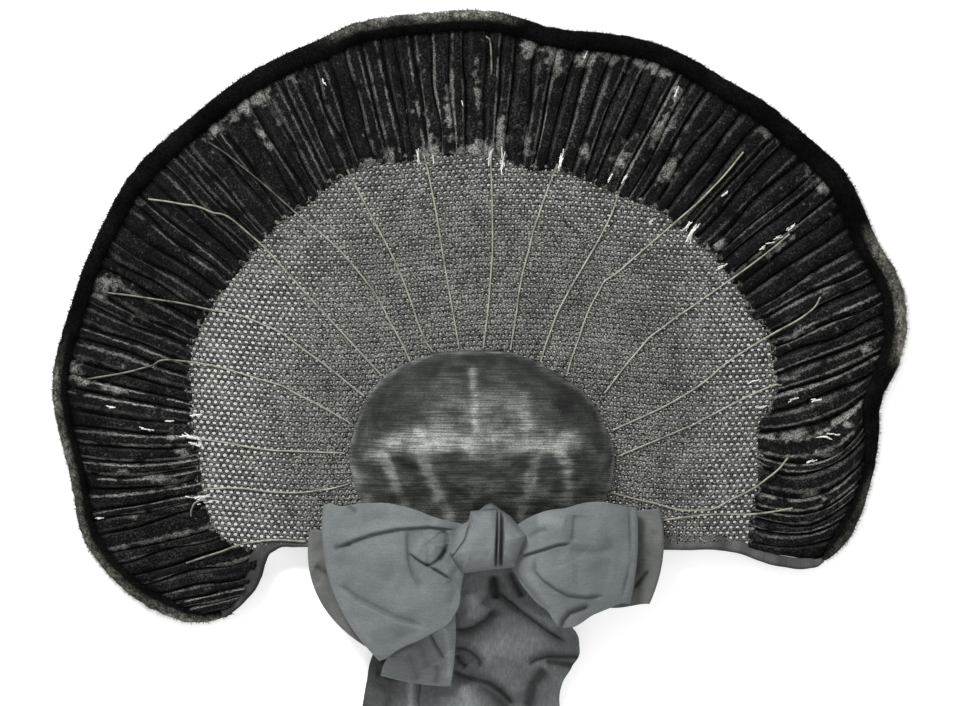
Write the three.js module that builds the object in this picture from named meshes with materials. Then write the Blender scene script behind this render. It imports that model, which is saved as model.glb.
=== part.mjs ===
// A folk costume bonnet with a fan-shaped wheel, lying flat with its crown up.
//
// Frame: millimetres, +X across the wheel, +Y towards the top of the wheel, +Z up off the surface.
// The rim roll rests on Z = 0 and the hollow for the head opens downwards under the crown.
// Plan positions are written from the hub, a point under the crown, in steps: STEPS of them
// reach from the hub to the top of the wheel.
import * as THREE from "three";

// Main sizes.
const WHEEL_REACH = 215.3; // hub to the top of the wheel
const STEPS = 46; // plan steps in that reach
const WHEEL_RISE = 12; // how far the wheel climbs from its rim to the crown
const RIM_HEIGHT = 5; // middle of the cloth where it meets the roll
const CROWN_RISE = 43; // crown above its own lower edge
const ROLL_FULLNESS = 0.92; // height of the roll as a share of its width
const FOLDS = 92; // folds in the gathered band
const FOLD_DEPTH = 2.1; // half the height from valley to crest
const GATHER_DEPTH = 1.4; // relief of the gathers on the crown's lower slope
const NET_SECTORS = 22; // gaps round the net
const NET_ROWS = 5; // gaps from the crown to the band
const NET_STRAND = 1.1; // half the width of a strand of the net
const WIRE_RADIUS = 0.5;
const BOW_RISE = 22; // height of the loops above the hem binding

// Walls and clearances.
const CROWN_WALL = 2;
const BAND_WALL = 1.4;
const NET_WALL = 1;
const SILK_WALL = 1.2;
const HEM_THICKNESS = 2.2;
const GAP = 0.3; // between pieces that touch in the real thing

// Values that follow from the sizes above.
const STEP = WHEEL_REACH / STEPS;
const GAP_STEPS = GAP / STEP;
const CROWN_BASE = RIM_HEIGHT + WHEEL_RISE;

// Outer edge of the wheel from its right end, over the top, to its left end: angle in degrees,
// reach from the hub and width of the roll in steps.
const RIM = [
  { angle: -15.8, reach: 35.2, roll: 0.9 },
  { angle: -12.9, reach: 36.7, roll: 1.5 },
  { angle: -8.5, reach: 38.0, roll: 1.8 },
  { angle: -3.5, reach: 38.8, roll: 1.4 },
  { angle: 1, reach: 39.5, roll: 1.3 },
  { angle: 5.7, reach: 40.1, roll: 1.7 },
  { angle: 9.6, reach: 40.7, roll: 2.0 },
  { angle: 12.8, reach: 42.4, roll: 2.2 },
  { angle: 16, reach: 44.0, roll: 2.3 },
  { angle: 20, reach: 45.3, roll: 2.4 },
  { angle: 25, reach: 46.0, roll: 2.4 },
  { angle: 30, reach: 45.8, roll: 2.3 },
  { angle: 37, reach: 46.8, roll: 2.3 },
  { angle: 41, reach: 47.0, roll: 2.3 },
  { angle: 46, reach: 46.6, roll: 2.2 },
  { angle: 52, reach: 46.5, roll: 2.1 },
  { angle: 58, reach: 46.1, roll: 2.0 },
  { angle: 64, reach: 46.2, roll: 2.0 },
  { angle: 70, reach: 45.9, roll: 2.0 },
  { angle: 75, reach: 45.3, roll: 2.0 },
  { angle: 80, reach: 44.8, roll: 2.0 },
  { angle: 84, reach: 45.2, roll: 2.0 },
  { angle: 89, reach: 45.9, roll: 2.1 },
  { angle: 97, reach: 46.0, roll: 2.1 },
  { angle: 106, reach: 46.4, roll: 2.1 },
  { angle: 111, reach: 46.0, roll: 2.1 },
  { angle: 121, reach: 46.0, roll: 2.1 },
  { angle: 130, reach: 45.7, roll: 2.0 },
  { angle: 139, reach: 45.9, roll: 2.0 },
  { angle: 146, reach: 45.3, roll: 1.8 },
  { angle: 153, reach: 44.7, roll: 1.7 },
  { angle: 160, reach: 44.2, roll: 1.7 },
  { angle: 168, reach: 43.9, roll: 1.7 },
  { angle: 172.5, reach: 43.1, roll: 1.7 },
  { angle: 178, reach: 41.8, roll: 1.7 },
  { angle: 183, reach: 41.0, roll: 1.7 },
  { angle: 189, reach: 40.6, roll: 1.7 },
  { angle: 193, reach: 39.7, roll: 1.7 },
  { angle: 197, reach: 38.4, roll: 1.7 },
  { angle: 200.6, reach: 37.0, roll: 1.8 },
  { angle: 203.5, reach: 35.6, roll: 1.9 },
  { angle: 206, reach: 34.2, roll: 1.8 },
  { angle: 208.3, reach: 32.5, roll: 1.4 },
  { angle: 209.6, reach: 30.6, roll: 0.9 },
];

// Line where the band meets the net, and the hem in the lower left lobe.
const MEET = [
  { angle: -16.8, reach: 27.9 },
  { angle: -13, reach: 27.6 },
  { angle: -9, reach: 27.4 },
  { angle: -5, reach: 27.7 },
  { angle: 6, reach: 27.8 },
  { angle: 9, reach: 28.1 },
  { angle: 13, reach: 29.8 },
  { angle: 17, reach: 30.6 },
  { angle: 21, reach: 31.2 },
  { angle: 26, reach: 31.7 },
  { angle: 30, reach: 31.1 },
  { angle: 36, reach: 31.5 },
  { angle: 50, reach: 31.3 },
  { angle: 56, reach: 31.4 },
  { angle: 63, reach: 30.7 },
  { angle: 76, reach: 30.9 },
  { angle: 81, reach: 30.4 },
  { angle: 87, reach: 31.2 },
  { angle: 104, reach: 31.8 },
  { angle: 114, reach: 32.4 },
  { angle: 123, reach: 31.7 },
  { angle: 131, reach: 31.8 },
  { angle: 139, reach: 31.4 },
  { angle: 155, reach: 31.5 },
  { angle: 161, reach: 30.9 },
  { angle: 166, reach: 29.9 },
  { angle: 171, reach: 29.4 },
  { angle: 176, reach: 28.5 },
  { angle: 188, reach: 27.9 },
  { angle: 192, reach: 27.5 },
  { angle: 195.5, reach: 26.6 },
  { angle: 198, reach: 25.3 },
  { angle: 199.8, reach: 24.2 },
  { angle: 202.4, reach: 24.4 },
  { angle: 205.2, reach: 25.6 },
  { angle: 207.4, reach: 27.0 },
  { angle: 209, reach: 29.0 },
];

// How the folds lean in the lower lobes: a fold that starts on the roll at one angle ends on the
// net at another, and sags sideways between them, in steps.
const LEAN = [
  { angle: -14.6, end: -15.6, sag: 0 },
  { angle: -9.4, end: -14, sag: 1.1 },
  { angle: -6.9, end: -12, sag: 1.5 },
  { angle: -3.3, end: -9.5, sag: 2.0 },
  { angle: 0.8, end: -5.8, sag: 2.2 },
  { angle: 3.8, end: -1, sag: 2.3 },
  { angle: 8.3, end: 4.1, sag: 2.4 },
  { angle: 11.2, end: 8.2, sag: 1.5 },
  { angle: 15, end: 13.5, sag: 0.6 },
  { angle: 22, end: 22, sag: 0 },
  { angle: 165, end: 165, sag: 0 },
  { angle: 175.5, end: 174, sag: -0.3 },
  { angle: 181, end: 179.8, sag: -0.6 },
  { angle: 187, end: 185.5, sag: 0 },
  { angle: 191, end: 188.8, sag: 0 },
  { angle: 193, end: 192.4, sag: 0 },
  { angle: 196, end: 195.5, sag: 0 },
  { angle: 199.6, end: 200.8, sag: 0 },
  { angle: 201.8, end: 204.2, sag: 0 },
  { angle: 204.3, end: 206.4, sag: 0 },
  { angle: 207.1, end: 208, sag: 0 },
  { angle: 209.1, end: 208.9, sag: 0 },
];

// Lower edge of the crown, all the way round the hub.
const CROWN_EDGE = [
  { angle: -90, reach: 6.0 },
  { angle: -55, reach: 7.0 },
  { angle: -35, reach: 9.5 },
  { angle: -22, reach: 12.0 },
  { angle: -12, reach: 12.9 },
  { angle: 0, reach: 13.2 },
  { angle: 10, reach: 13.4 },
  { angle: 20, reach: 13.1 },
  { angle: 32, reach: 13.0 },
  { angle: 47, reach: 12.4 },
  { angle: 62, reach: 12.1 },
  { angle: 76, reach: 12.05 },
  { angle: 95, reach: 12.0 },
  { angle: 113, reach: 12.5 },
  { angle: 125, reach: 13.0 },
  { angle: 137, reach: 13.4 },
  { angle: 148, reach: 13.5 },
  { angle: 161, reach: 13.3 },
  { angle: 170, reach: 13.3 },
  { angle: 182, reach: 13.0 },
  { angle: 194, reach: 12.5 },
  { angle: 206, reach: 11.3 },
  { angle: 222, reach: 8.6 },
  { angle: 240, reach: 6.7 },
  { angle: 270, reach: 6.0 },
];
const CROWN_TOP = { x: 0, y: 2.3 }; // highest point of the crown

// Outer edge of the hem binding from the left lobe to the right one, with its width, in steps.
const HEM = [
  { x: -24.9, y: -14.3, width: 0.6 },
  { x: -23.4, y: -13.0, width: 0.8 },
  { x: -22.1, y: -10.9, width: 0.8 },
  { x: -21.6, y: -9.3, width: 0.8 },
  { x: -20.7, y: -8.2, width: 0.7 },
  { x: -18.9, y: -7.8, width: 0.7 },
  { x: -12, y: -8.0, width: 0.9 },
  { x: 0, y: -8.1, width: 1.1 },
  { x: 12, y: -8.1, width: 1.4 },
  { x: 20.6, y: -8.1, width: 1.6 },
  { x: 25, y: -8.3, width: 1.2 },
  { x: 27.8, y: -9.2, width: 1.1 },
  { x: 30.2, y: -9.7, width: 1.0 },
  { x: 32.3, y: -9.8, width: 0.7 },
];

// Plan route of each wire from the band to the crown, as four places in steps.
const WIRES = [
  { x0: -29.5, y0: -9.4, x1: -26.2, y1: -8.3, x2: -22.2, y2: -7.0, x3: -18.2, y3: -6.9 },
  { x0: -27.6, y0: -2.0, x1: -22.8, y1: -2.1, x2: -16.2, y2: -2.1, x3: -13.6, y3: -1.6 },
  { x0: -28.0, y0: 3.0, x1: -25.2, y1: 2.6, x2: -21.8, y2: 2.0, x3: -13.8, y3: 1.6 },
  { x0: -39.4, y0: 9.0, x1: -29.8, y1: 10.8, x2: -22.2, y2: 9.0, x3: -13.4, y3: 4.7 },
  { x0: -37.9, y0: 17.7, x1: -25.1, y1: 15.7, x2: -17.4, y2: 11.7, x3: -12.0, y3: 7.5 },
  { x0: -33.3, y0: 27.0, x1: -23.3, y1: 23.6, x2: -17.4, y2: 17.4, x3: -10.3, y3: 9.6 },
  { x0: -27.3, y0: 32.7, x1: -22.0, y1: 28.4, x2: -12.6, y2: 20.1, x3: -7.3, y3: 11.3 },
  { x0: -13.4, y0: 29.9, x1: -11.0, y1: 25.3, x2: -6.9, y2: 16.6, x3: -4.9, y3: 12.0 },
  { x0: -7.6, y0: 36.0, x1: -5.8, y1: 30.7, x2: -3.7, y2: 20.6, x3: -2.2, y3: 12.3 },
  { x0: 0.5, y0: 43.0, x1: 1.1, y1: 30.7, x2: 0.9, y2: 18.8, x3: 0.2, y3: 12.4 },
  { x0: 7.6, y0: 30.5, x1: 5.7, y1: 25.3, x2: 3.9, y2: 18.4, x3: 2.9, y3: 12.2 },
  { x0: 13.7, y0: 27.5, x1: 12.2, y1: 23.8, x2: 8.7, y2: 17.7, x3: 5.9, y3: 11.2 },
  { x0: 26.2, y0: 31.7, x1: 19.3, y1: 24.6, x2: 11.7, y2: 17.7, x3: 8.7, y3: 9.6 },
  { x0: 30.8, y0: 23.5, x1: 25.3, y1: 19.7, x2: 18.2, y2: 14.2, x3: 12.3, y3: 7.6 },
  { x0: 33.9, y0: 17.2, x1: 28.9, y1: 13.4, x2: 20.1, y2: 7.3, x3: 13.3, y3: 4.0 },
  { x0: 30.0, y0: 8.4, x1: 28.0, y1: 7.9, x2: 20.1, y2: 4.0, x3: 13.8, y3: 1.3 },
  { x0: 30.6, y0: 1.1, x1: 26.9, y1: -2.1, x2: 21.5, y2: -4.1, x3: 13.6, y3: -2.5 },
  { x0: 31.1, y0: -3.9, x1: 26.9, y1: -4.5, x2: 23.2, y2: -4.5, x3: 18.4, y3: -5.1 },
];

// Stations of the bow's loops from the knot outwards: the two edges of the ribbon in steps, how
// far its middle bulges outwards, and its middle height and half height as shares of BOW_RISE.
const LOOPS = {
  bow_loop_left: [
    { ax: -3.4, ay: -4.5, bx: -3.6, by: -8.7, bulge: 0, mid: 0.56, half: 0.16 },
    { ax: -5.0, ay: -4.2, bx: -2.3, by: -11.4, bulge: 0, mid: 0.6, half: 0.26 },
    { ax: -7.8, ay: -3.6, bx: -2.7, by: -14.4, bulge: 0.5, mid: 0.6, half: 0.3 },
    { ax: -11.2, ay: -3.3, bx: -5.1, by: -16.3, bulge: 1.0, mid: 0.56, half: 0.3 },
    { ax: -13.7, ay: -3.6, bx: -7.8, by: -17.6, bulge: 1.6, mid: 0.48, half: 0.25 },
    { ax: -15.0, ay: -3.5, bx: -9.3, by: -18.4, bulge: 2.0, mid: 0.4, half: 0.17 },
  ],
  bow_loop_right: [
    { ax: 4.9, ay: -5.2, bx: 4.2, by: -9.4, bulge: 0, mid: 0.56, half: 0.16 },
    { ax: 6.0, ay: -4.0, bx: 4.8, by: -12.4, bulge: 0, mid: 0.6, half: 0.26 },
    { ax: 8.3, ay: -3.8, bx: 6.6, by: -14.1, bulge: 0, mid: 0.6, half: 0.3 },
    { ax: 10.9, ay: -3.2, bx: 8.4, by: -15.6, bulge: 0.1, mid: 0.56, half: 0.3 },
    { ax: 13.2, ay: -3.4, bx: 11.2, by: -14.4, bulge: 0.3, mid: 0.48, half: 0.25 },
    { ax: 14.6, ay: -3.6, bx: 13.8, by: -13.4, bulge: 0.5, mid: 0.4, half: 0.17 },
  ],
  bow_back_loop_left: [
    { ax: -3.6, ay: -7.0, bx: -3.8, by: -9.0, bulge: 0, mid: 0.09, half: 0.09 },
    { ax: -8.0, ay: -6.6, bx: -5.2, by: -12.5, bulge: 0.4, mid: 0.09, half: 0.09 },
    { ax: -12.5, ay: -6.3, bx: -7.6, by: -15.9, bulge: 1.2, mid: 0.09, half: 0.09 },
    { ax: -16.6, ay: -6.1, bx: -10.5, by: -17.6, bulge: 2.2, mid: 0.09, half: 0.09 },
  ],
  bow_back_loop_right: [
    { ax: 4.8, ay: -7.0, bx: 4.6, by: -9.0, bulge: 0, mid: 0.09, half: 0.09 },
    { ax: 8.5, ay: -6.3, bx: 7.2, by: -11.6, bulge: 0, mid: 0.09, half: 0.09 },
    { ax: 13.4, ay: -5.2, bx: 11.5, by: -13.2, bulge: 0.3, mid: 0.09, half: 0.09 },
    { ax: 17.3, ay: -3.9, bx: 16.3, by: -13.4, bulge: 0.8, mid: 0.09, half: 0.09 },
  ],
};

// Stations of the bow's tails from the knot to their ends: the two edges in steps, the height of
// the cloth as a share of the knot's underside, and the size of its cross folds in millimetres.
const TAILS = {
  bow_tail_centre: [
    { ax: -1.2, ay: -8.9, bx: 2.9, by: -8.8, height: 1, fold: 0 },
    { ax: -1.7, ay: -10.6, bx: 3.4, by: -10.6, height: 0.86, fold: 0.3 },
    { ax: -2.2, ay: -12.8, bx: 4.6, by: -12.8, height: 0.68, fold: 1.0 },
    { ax: -2.5, ay: -15.5, bx: 7.6, by: -15.7, height: 0.52, fold: 1.4 },
    { ax: -2.7, ay: -18.0, bx: 9.8, by: -17.6, height: 0.38, fold: 1.8 },
    { ax: -3.6, ay: -20.2, bx: 8.9, by: -19.9, height: 0.3, fold: 1.8 },
    { ax: -6.2, ay: -22.2, bx: 7.9, by: -22.1, height: 0.25, fold: 1.6 },
    { ax: -6.7, ay: -24.9, bx: 8.0, by: -24.9, height: 0.2, fold: 1.2 },
  ],
  bow_tail_left: [
    { ax: -2.4, ay: -8.6, bx: -1.6, by: -9.1, height: 1, fold: 0 },
    { ax: -3.0, ay: -10.0, bx: -2.1, by: -10.8, height: 0.66, fold: 0 },
    { ax: -6.6, ay: -13.4, bx: -4.0, by: -15.6, height: 0.56, fold: 0.4 },
    { ax: -9.4, ay: -16.2, bx: -5.6, by: -18.0, height: 0.4, fold: 0.8 },
    { ax: -10.8, ay: -18.4, bx: -6.8, by: -19.9, height: 0.26, fold: 0.9 },
    { ax: -11.6, ay: -21.4, bx: -7.1, by: -21.8, height: 0.17, fold: 0.8 },
    { ax: -12.1, ay: -24.9, bx: -7.1, by: -24.9, height: 0.13, fold: 0.6 },
  ],
};
const SHORT_TAIL = [
  { ax: -7.6, ay: -16.2, bx: -2.8, by: -14.3, bulge: 0, mid: 1.17, half: 0.1 },
  { ax: -9.4, ay: -18.9, bx: -2.8, by: -17.6, bulge: 0, mid: 0.86, half: 0.1 },
  { ax: -9.9, ay: -20.2, bx: -3.0, by: -21.2, bulge: 0, mid: 0.62, half: 0.1 },
];

// Outline of the knot in steps, seen from above, and the seam that runs down its face.
const KNOT = [
  { x: 4.6, y: -6.3 },
  { x: 2.9, y: -4.4 },
  { x: 1.9, y: -3.9 },
  { x: 0.7, y: -3.4 },
  { x: -0.9, y: -4.1 },
  { x: -2.5, y: -5.8 },
  { x: -3.2, y: -8.7 },
  { x: -1.7, y: -10.1 },
  { x: 1.2, y: -9.9 },
  { x: 2.9, y: -9.7 },
  { x: 3.7, y: -9.2 },
];
const KNOT_MIDDLE = { x: 0.6, y: -7 };
const KNOT_SEAM = { x: 1.9, width: 0.7, depth: 2.2 };

const radians = THREE.MathUtils.degToRad;
const lerp = THREE.MathUtils.lerp;
const clamp = THREE.MathUtils.clamp;

/** A column of a table at a place between its rows, as a smooth curve through the rows. */
function reading(rows, column, at, key = "angle") {
  const last = rows.length - 1;
  let i = rows.findIndex((row) => row[key] > at) - 1;
  if (i < 0) i = at <= rows[0][key] ? 0 : last - 1;
  const slope = (k) => {
    const a = rows[Math.max(k - 1, 0)];
    const b = rows[Math.min(k + 1, last)];
    return (b[column] - a[column]) / (b[key] - a[key]);
  };
  const span = rows[i + 1][key] - rows[i][key];
  const t = clamp((at - rows[i][key]) / span, 0, 1);
  const ease = t * t * (3 - 2 * t);
  const start = rows[i][column] + slope(i) * span * t;
  const end = rows[i + 1][column] - slope(i + 1) * span * (1 - t);
  return lerp(start, end, ease);
}

/** The plan place at an angle and a reach in steps from the hub. */
function polar(angle, reach) {
  return new THREE.Vector2(Math.cos(radians(angle)), Math.sin(radians(angle))).multiplyScalar(reach);
}

/** The angle of a plan place about the hub, counted on from the right end of the wheel. */
function angleOf(place) {
  const angle = THREE.MathUtils.radToDeg(Math.atan2(place.y, place.x));
  return angle < -90 ? angle + 360 : angle;
}

/** Reach of the wheel's outer edge; below the hem it runs straight from end to end. */
function rimReach(angle) {
  const first = RIM[0];
  const last = RIM[RIM.length - 1];
  if (angle >= first.angle && angle <= last.angle) return reading(RIM, "reach", angle);
  const round = angle < first.angle ? angle + 360 : angle;
  const share = (round - last.angle) / (first.angle + 360 - last.angle);
  return lerp(last.reach, first.reach, share);
}

/** Height of the middle of the wheel's cloth over a plan place, a low cone from rim to crown. */
function wheelHeight(place) {
  const angle = angleOf(place);
  const inner = reading(CROWN_EDGE, "reach", angle);
  const share = clamp((place.length() - inner) / (rimReach(angle) - inner), 0, 1);
  return RIM_HEIGHT + WHEEL_RISE * Math.pow(1 - share, 1.15);
}

/** Millimetre point at a plan place in steps and a height in millimetres. */
function point(place, height) {
  return new THREE.Vector3(place.x * STEP, place.y * STEP, height);
}

/** A closed geometry from points and faces, each face a fan of point indices. */
function solid(points, faces) {
  const index = faces.flatMap((f) => f.slice(2).flatMap((_, k) => [f[0], f[k + 1], f[k + 2]]));
  let volume = 0;
  for (let i = 0; i < index.length; i += 3) {
    const [a, b, c] = [0, 1, 2].map((k) => points[index[i + k]]);
    volume += a.dot(b.clone().cross(c));
  }
  if (volume < 0) index.reverse();
  const geometry = new THREE.BufferGeometry().setFromPoints(points);
  return geometry.setIndex(index);
}

/** The faces of two grids of points, one wall thickness apart, joined along every free edge. */
function wallFaces(rows, columns, ringed) {
  const far = rows * columns;
  const at = (r, c) => r * columns + (c % columns);
  const faces = [];
  const wide = ringed ? columns : columns - 1;
  for (let r = 0; r < rows - 1; r++) {
    for (let c = 0; c < wide; c++) {
      const quad = [at(r, c), at(r, c + 1), at(r + 1, c + 1), at(r + 1, c)];
      faces.push(quad, quad.map((k) => k + far).reverse());
    }
    if (!ringed) {
      faces.push([at(r, 0), at(r + 1, 0), at(r + 1, 0) + far, at(r, 0) + far]);
      const c = columns - 1;
      faces.push([at(r + 1, c), at(r, c), at(r, c) + far, at(r + 1, c) + far]);
    }
  }
  for (let c = 0; c < wide; c++) {
    faces.push([at(0, c + 1), at(0, c), at(0, c) + far, at(0, c + 1) + far]);
    const r = rows - 1;
    faces.push([at(r, c), at(r, c + 1), at(r, c + 1) + far, at(r, c) + far]);
  }
  return faces;
}

/** A grid of points moved along its own normals by a distance. */
function offsetGrid(grid, distance, ringed) {
  const rows = grid.length;
  const columns = grid[0].length;
  return grid.map((row, r) =>
    row.map((p, c) => {
      const before = ringed ? (c + columns - 1) % columns : Math.max(c - 1, 0);
      const after = ringed ? (c + 1) % columns : Math.min(c + 1, columns - 1);
      const along = row[after].clone().sub(row[before]);
      const across = grid[Math.min(r + 1, rows - 1)][c].clone().sub(grid[Math.max(r - 1, 0)][c]);
      return along.cross(across).normalize().multiplyScalar(distance).add(p);
    }),
  );
}

/** A sheet of cloth: a grid of points on one face and a wall's thickness to the other. */
function sheet(grid, wall) {
  const other = offsetGrid(grid, wall, false);
  const points = [...grid.flat(), ...other.flat()];
  return solid(points, wallFaces(grid.length, grid[0].length, false));
}

/** A solid sweep: one closed section of points at each station, with plain ends. */
function sweep(sections) {
  const count = sections[0].length;
  const at = (r, c) => r * count + (c % count);
  const faces = [];
  for (let r = 0; r < sections.length - 1; r++) {
    for (let c = 0; c < count; c++) {
      faces.push([at(r, c), at(r, c + 1), at(r + 1, c + 1), at(r + 1, c)]);
    }
  }
  const ring = [...Array(count).keys()];
  faces.push([...ring].reverse(), ring.map((c) => at(sections.length - 1, c)));
  return solid(sections.flat(), faces);
}

/** The wheel's edge at an angle: its outer place, the direction outwards and the roll's width. */
function rimAt(angle) {
  const first = RIM[0].angle;
  const last = RIM[RIM.length - 1].angle;
  const edge = (at) => polar(at, reading(RIM, "reach", at));
  const along = edge(Math.min(angle + 1, last)).sub(edge(Math.max(angle - 1, first))).normalize();
  const outward = new THREE.Vector2(along.y, -along.x);
  return { place: edge(angle), outward, roll: reading(RIM, "roll", angle) };
}

/** The plush roll along the rim, with a flat strip underneath that rests on the surface. */
function rollGeometry() {
  const stations = 72;
  const sides = 8;
  const sections = [];
  for (let i = 0; i <= stations; i++) {
    const { place: edge, outward, roll } = rimAt(lerp(RIM[0].angle, RIM.at(-1).angle, i / stations));
    const half = roll / 2;
    const middle = edge.addScaledVector(outward, -half);
    const tall = half * STEP * ROLL_FULLNESS;
    const section = [];
    for (let k = 0; k < sides; k++) {
      const turn = ((k + 0.5) * 2 * Math.PI) / sides;
      const place = middle.clone().addScaledVector(outward, half * Math.cos(turn));
      section.push(point(place, tall * (Math.sin(turn) + Math.cos(Math.PI / sides))));
    }
    sections.push(section);
  }
  return sweep(sections);
}

/** The gathered band: folds that run from the roll to the net, leaning in the lower lobes. */
function bandGeometry() {
  const shares = [0, 0.3, 0.72, 1];
  const heights = [0.75, 1, 0.9, 0.6];
  const first = LEAN[0].angle;
  const last = LEAN[LEAN.length - 1].angle;
  const grid = shares.map(() => []);
  for (let k = 0; k <= 2 * FOLDS; k++) {
    const angle = lerp(first, last, k / (2 * FOLDS)) + 0.22 * Math.sin(k * 1.7) * (k % (2 * FOLDS) ? 1 : 0);
    const end = reading(LEAN, "end", angle);
    const rim = rimAt(angle);
    const outer = rim.place.addScaledVector(rim.outward, -rim.roll - 3 * GAP_STEPS);
    const inner = polar(end, reading(MEET, "reach", end) + GAP_STEPS);
    const side = inner.clone().sub(outer).normalize();
    side.set(-side.y, side.x);
    const crest = k % 2 ? 1 : -1;
    const depth = FOLD_DEPTH * (0.85 + 0.15 * Math.sin(k * 0.9));
    shares.forEach((share, row) => {
      const place = outer.clone().lerp(inner, share);
      place.addScaledVector(side, reading(LEAN, "sag", angle) * 4 * share * (1 - share));
      const height = wheelHeight(place) + crest * depth * heights[row] + BAND_WALL / 2;
      grid[row].push(point(place, height));
    });
  }
  return sheet(grid, -BAND_WALL);
}

/** The net: a fan of strands cut through between them, from the crown out to the band. */
function netGeometry() {
  const lines = NET_SECTORS + 1;
  const rings = NET_ROWS + 1;
  const node = [];
  for (let i = 0; i < lines; i++) {
    const share = i / NET_SECTORS;
    const inAngle = lerp(-20, 203, share);
    const outAngle = lerp(-15.4, 198.8, share);
    const inner = polar(inAngle, reading(CROWN_EDGE, "reach", inAngle) + 4 * GAP_STEPS);
    const near = [-5, -2.5, 0, 2.5, 5].map((turn) => reading(MEET, "reach", outAngle + turn));
    const outer = polar(outAngle, Math.min(...near) - GAP_STEPS);
    node.push([...Array(rings).keys()].map((j) => inner.clone().lerp(outer, j / NET_ROWS)));
  }
  const points = [];
  const faces = [];
  const place = (p, level) => points.push(point(p, wheelHeight(p) + (level * NET_WALL) / 2)) - 1;
  const corners = node.map((line) => line.map((p) => [place(p, 1), place(p, -1)]));
  for (let i = 0; i < NET_SECTORS; i++) {
    for (let j = 0; j < NET_ROWS; j++) {
      const ring = [[i, j], [i + 1, j], [i + 1, j + 1], [i, j + 1]];
      const outline = ring.map(([a, b]) => node[a][b]);
      const middle = outline.reduce((sum, p) => sum.add(p), new THREE.Vector2()).divideScalar(4);
      const wide = (outline[0].distanceTo(outline[1]) + outline[2].distanceTo(outline[3])) / 2;
      const long = outline[1].distanceTo(outline[2]);
      const cut = clamp((2 * NET_STRAND) / (Math.min(wide, long) * STEP), 0.1, 0.6);
      const hole = outline.map((p) => p.clone().lerp(middle, cut)).map((p) => [place(p, 1), place(p, -1)]);
      for (let k = 0; k < 4; k++) {
        const n = (k + 1) % 4;
        const [a, b] = [corners[ring[k][0]][ring[k][1]], corners[ring[n][0]][ring[n][1]]];
        faces.push([a[0], b[0], hole[n][0], hole[k][0]], [a[1], hole[k][1], hole[n][1], b[1]]);
        faces.push([hole[k][0], hole[n][0], hole[n][1], hole[k][1]]);
      }
    }
  }
  const border = (a, b) => faces.push([b[0], a[0], a[1], b[1]]);
  for (let i = 0; i < NET_SECTORS; i++) {
    border(corners[i][0], corners[i + 1][0]);
    border(corners[i + 1][NET_ROWS], corners[i][NET_ROWS]);
  }
  for (let j = 0; j < NET_ROWS; j++) {
    border(corners[0][j + 1], corners[0][j]);
    border(corners[NET_SECTORS][j], corners[NET_SECTORS][j + 1]);
  }
  return solid(points, faces);
}

/** Height of the crown's cloth, as a share of its rise, at a share of the way up to its top. */
function crownProfile(share, slope) {
  const dome = Math.pow(1 - Math.pow(1 - share, 2.2), 1 / 1.6);
  const ramp = Math.pow(share * share * (3 - 2 * share), 1.6);
  return lerp(dome, ramp, slope);
}

/** A point on the crown: at an angle about the hub and a share of the way from edge to top. */
function crownPoint(angle, share) {
  const top = new THREE.Vector2(CROWN_TOP.x, CROWN_TOP.y);
  const edge = polar(angle, reading(CROWN_EDGE, "reach", angle));
  const down = (top.y - edge.y) / edge.distanceTo(top);
  const slope = THREE.MathUtils.smoothstep(down, 0.05, 0.55);
  const gathers = Math.cos(((edge.x / 12) * 4.5 + 0.5) * Math.PI) * slope;
  const relief = GATHER_DEPTH * gathers * Math.sin(Math.PI * Math.min(share * 1.3, 1));
  const height = CROWN_BASE + CROWN_RISE * crownProfile(share, slope) + relief;
  return point(edge.lerp(top, share), height);
}

/** The crown: a hollow cap with an open underside, full above and drawn down to the bow below. */
function crownGeometry() {
  const columns = 40;
  const shares = [0, 0.05, 0.14, 0.28, 0.44, 0.62, 0.82];
  const top = new THREE.Vector2(CROWN_TOP.x, CROWN_TOP.y);
  const turns = [...Array(columns).keys()].map((c) => -90 + (360 * c) / columns);
  const grid = shares.map((share) => turns.map((angle) => crownPoint(angle, share)));
  const inside = offsetGrid(grid, -CROWN_WALL, true);
  const points = [...grid.flat(), ...inside.flat()];
  const faces = wallFaces(shares.length, columns, true);
  const last = (shares.length - 1) * columns;
  const far = shares.length * columns;
  const closed = faces.slice(0, -2 * columns);
  const rims = faces.slice(-2 * columns).filter((_, k) => k % 2 === 0);
  const apex = points.push(point(top, CROWN_BASE + CROWN_RISE)) - 1;
  const under = points.push(point(top, CROWN_BASE + CROWN_RISE - CROWN_WALL)) - 1;
  for (let c = 0; c < columns; c++) {
    const [a, b] = [last + c, last + ((c + 1) % columns)];
    closed.push([a, b, apex], [b + far, a + far, under]);
  }
  return solid(points, [...closed, ...rims]);
}

/** The satin binding along the wheel's lower edge, from lobe to lobe and under the bow. */
function hemGeometry() {
  const route = new THREE.CatmullRomCurve3(HEM.map((row) => new THREE.Vector3(row.x, row.y, row.width)));
  const stations = 30;
  const sections = [];
  for (let i = 0; i <= stations; i++) {
    const here = route.getPointAt(i / stations);
    const along = route.getTangentAt(i / stations);
    const upward = new THREE.Vector2(-along.y, along.x).normalize();
    const edge = new THREE.Vector2(here.x, here.y);
    const section = [[0, 0], [0.25, 0.5], [0.8, 0.5], [1, 0], [0.8, -0.5], [0.25, -0.5]];
    sections.push(
      section.map(([across, up]) => {
        const place = edge.clone().addScaledVector(upward, across * (here.z - GAP_STEPS));
        return point(place, wheelHeight(edge) + up * HEM_THICKNESS);
      }),
    );
  }
  return sweep(sections);
}

/** How far the folds, or the net, stand above the middle of the wheel's cloth at a plan place. */
function reliefAt(place) {
  const folded = place.length() > reading(MEET, "reach", angleOf(place)) - 0.8;
  return folded ? FOLD_DEPTH + BAND_WALL / 2 : NET_WALL / 2;
}

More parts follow.
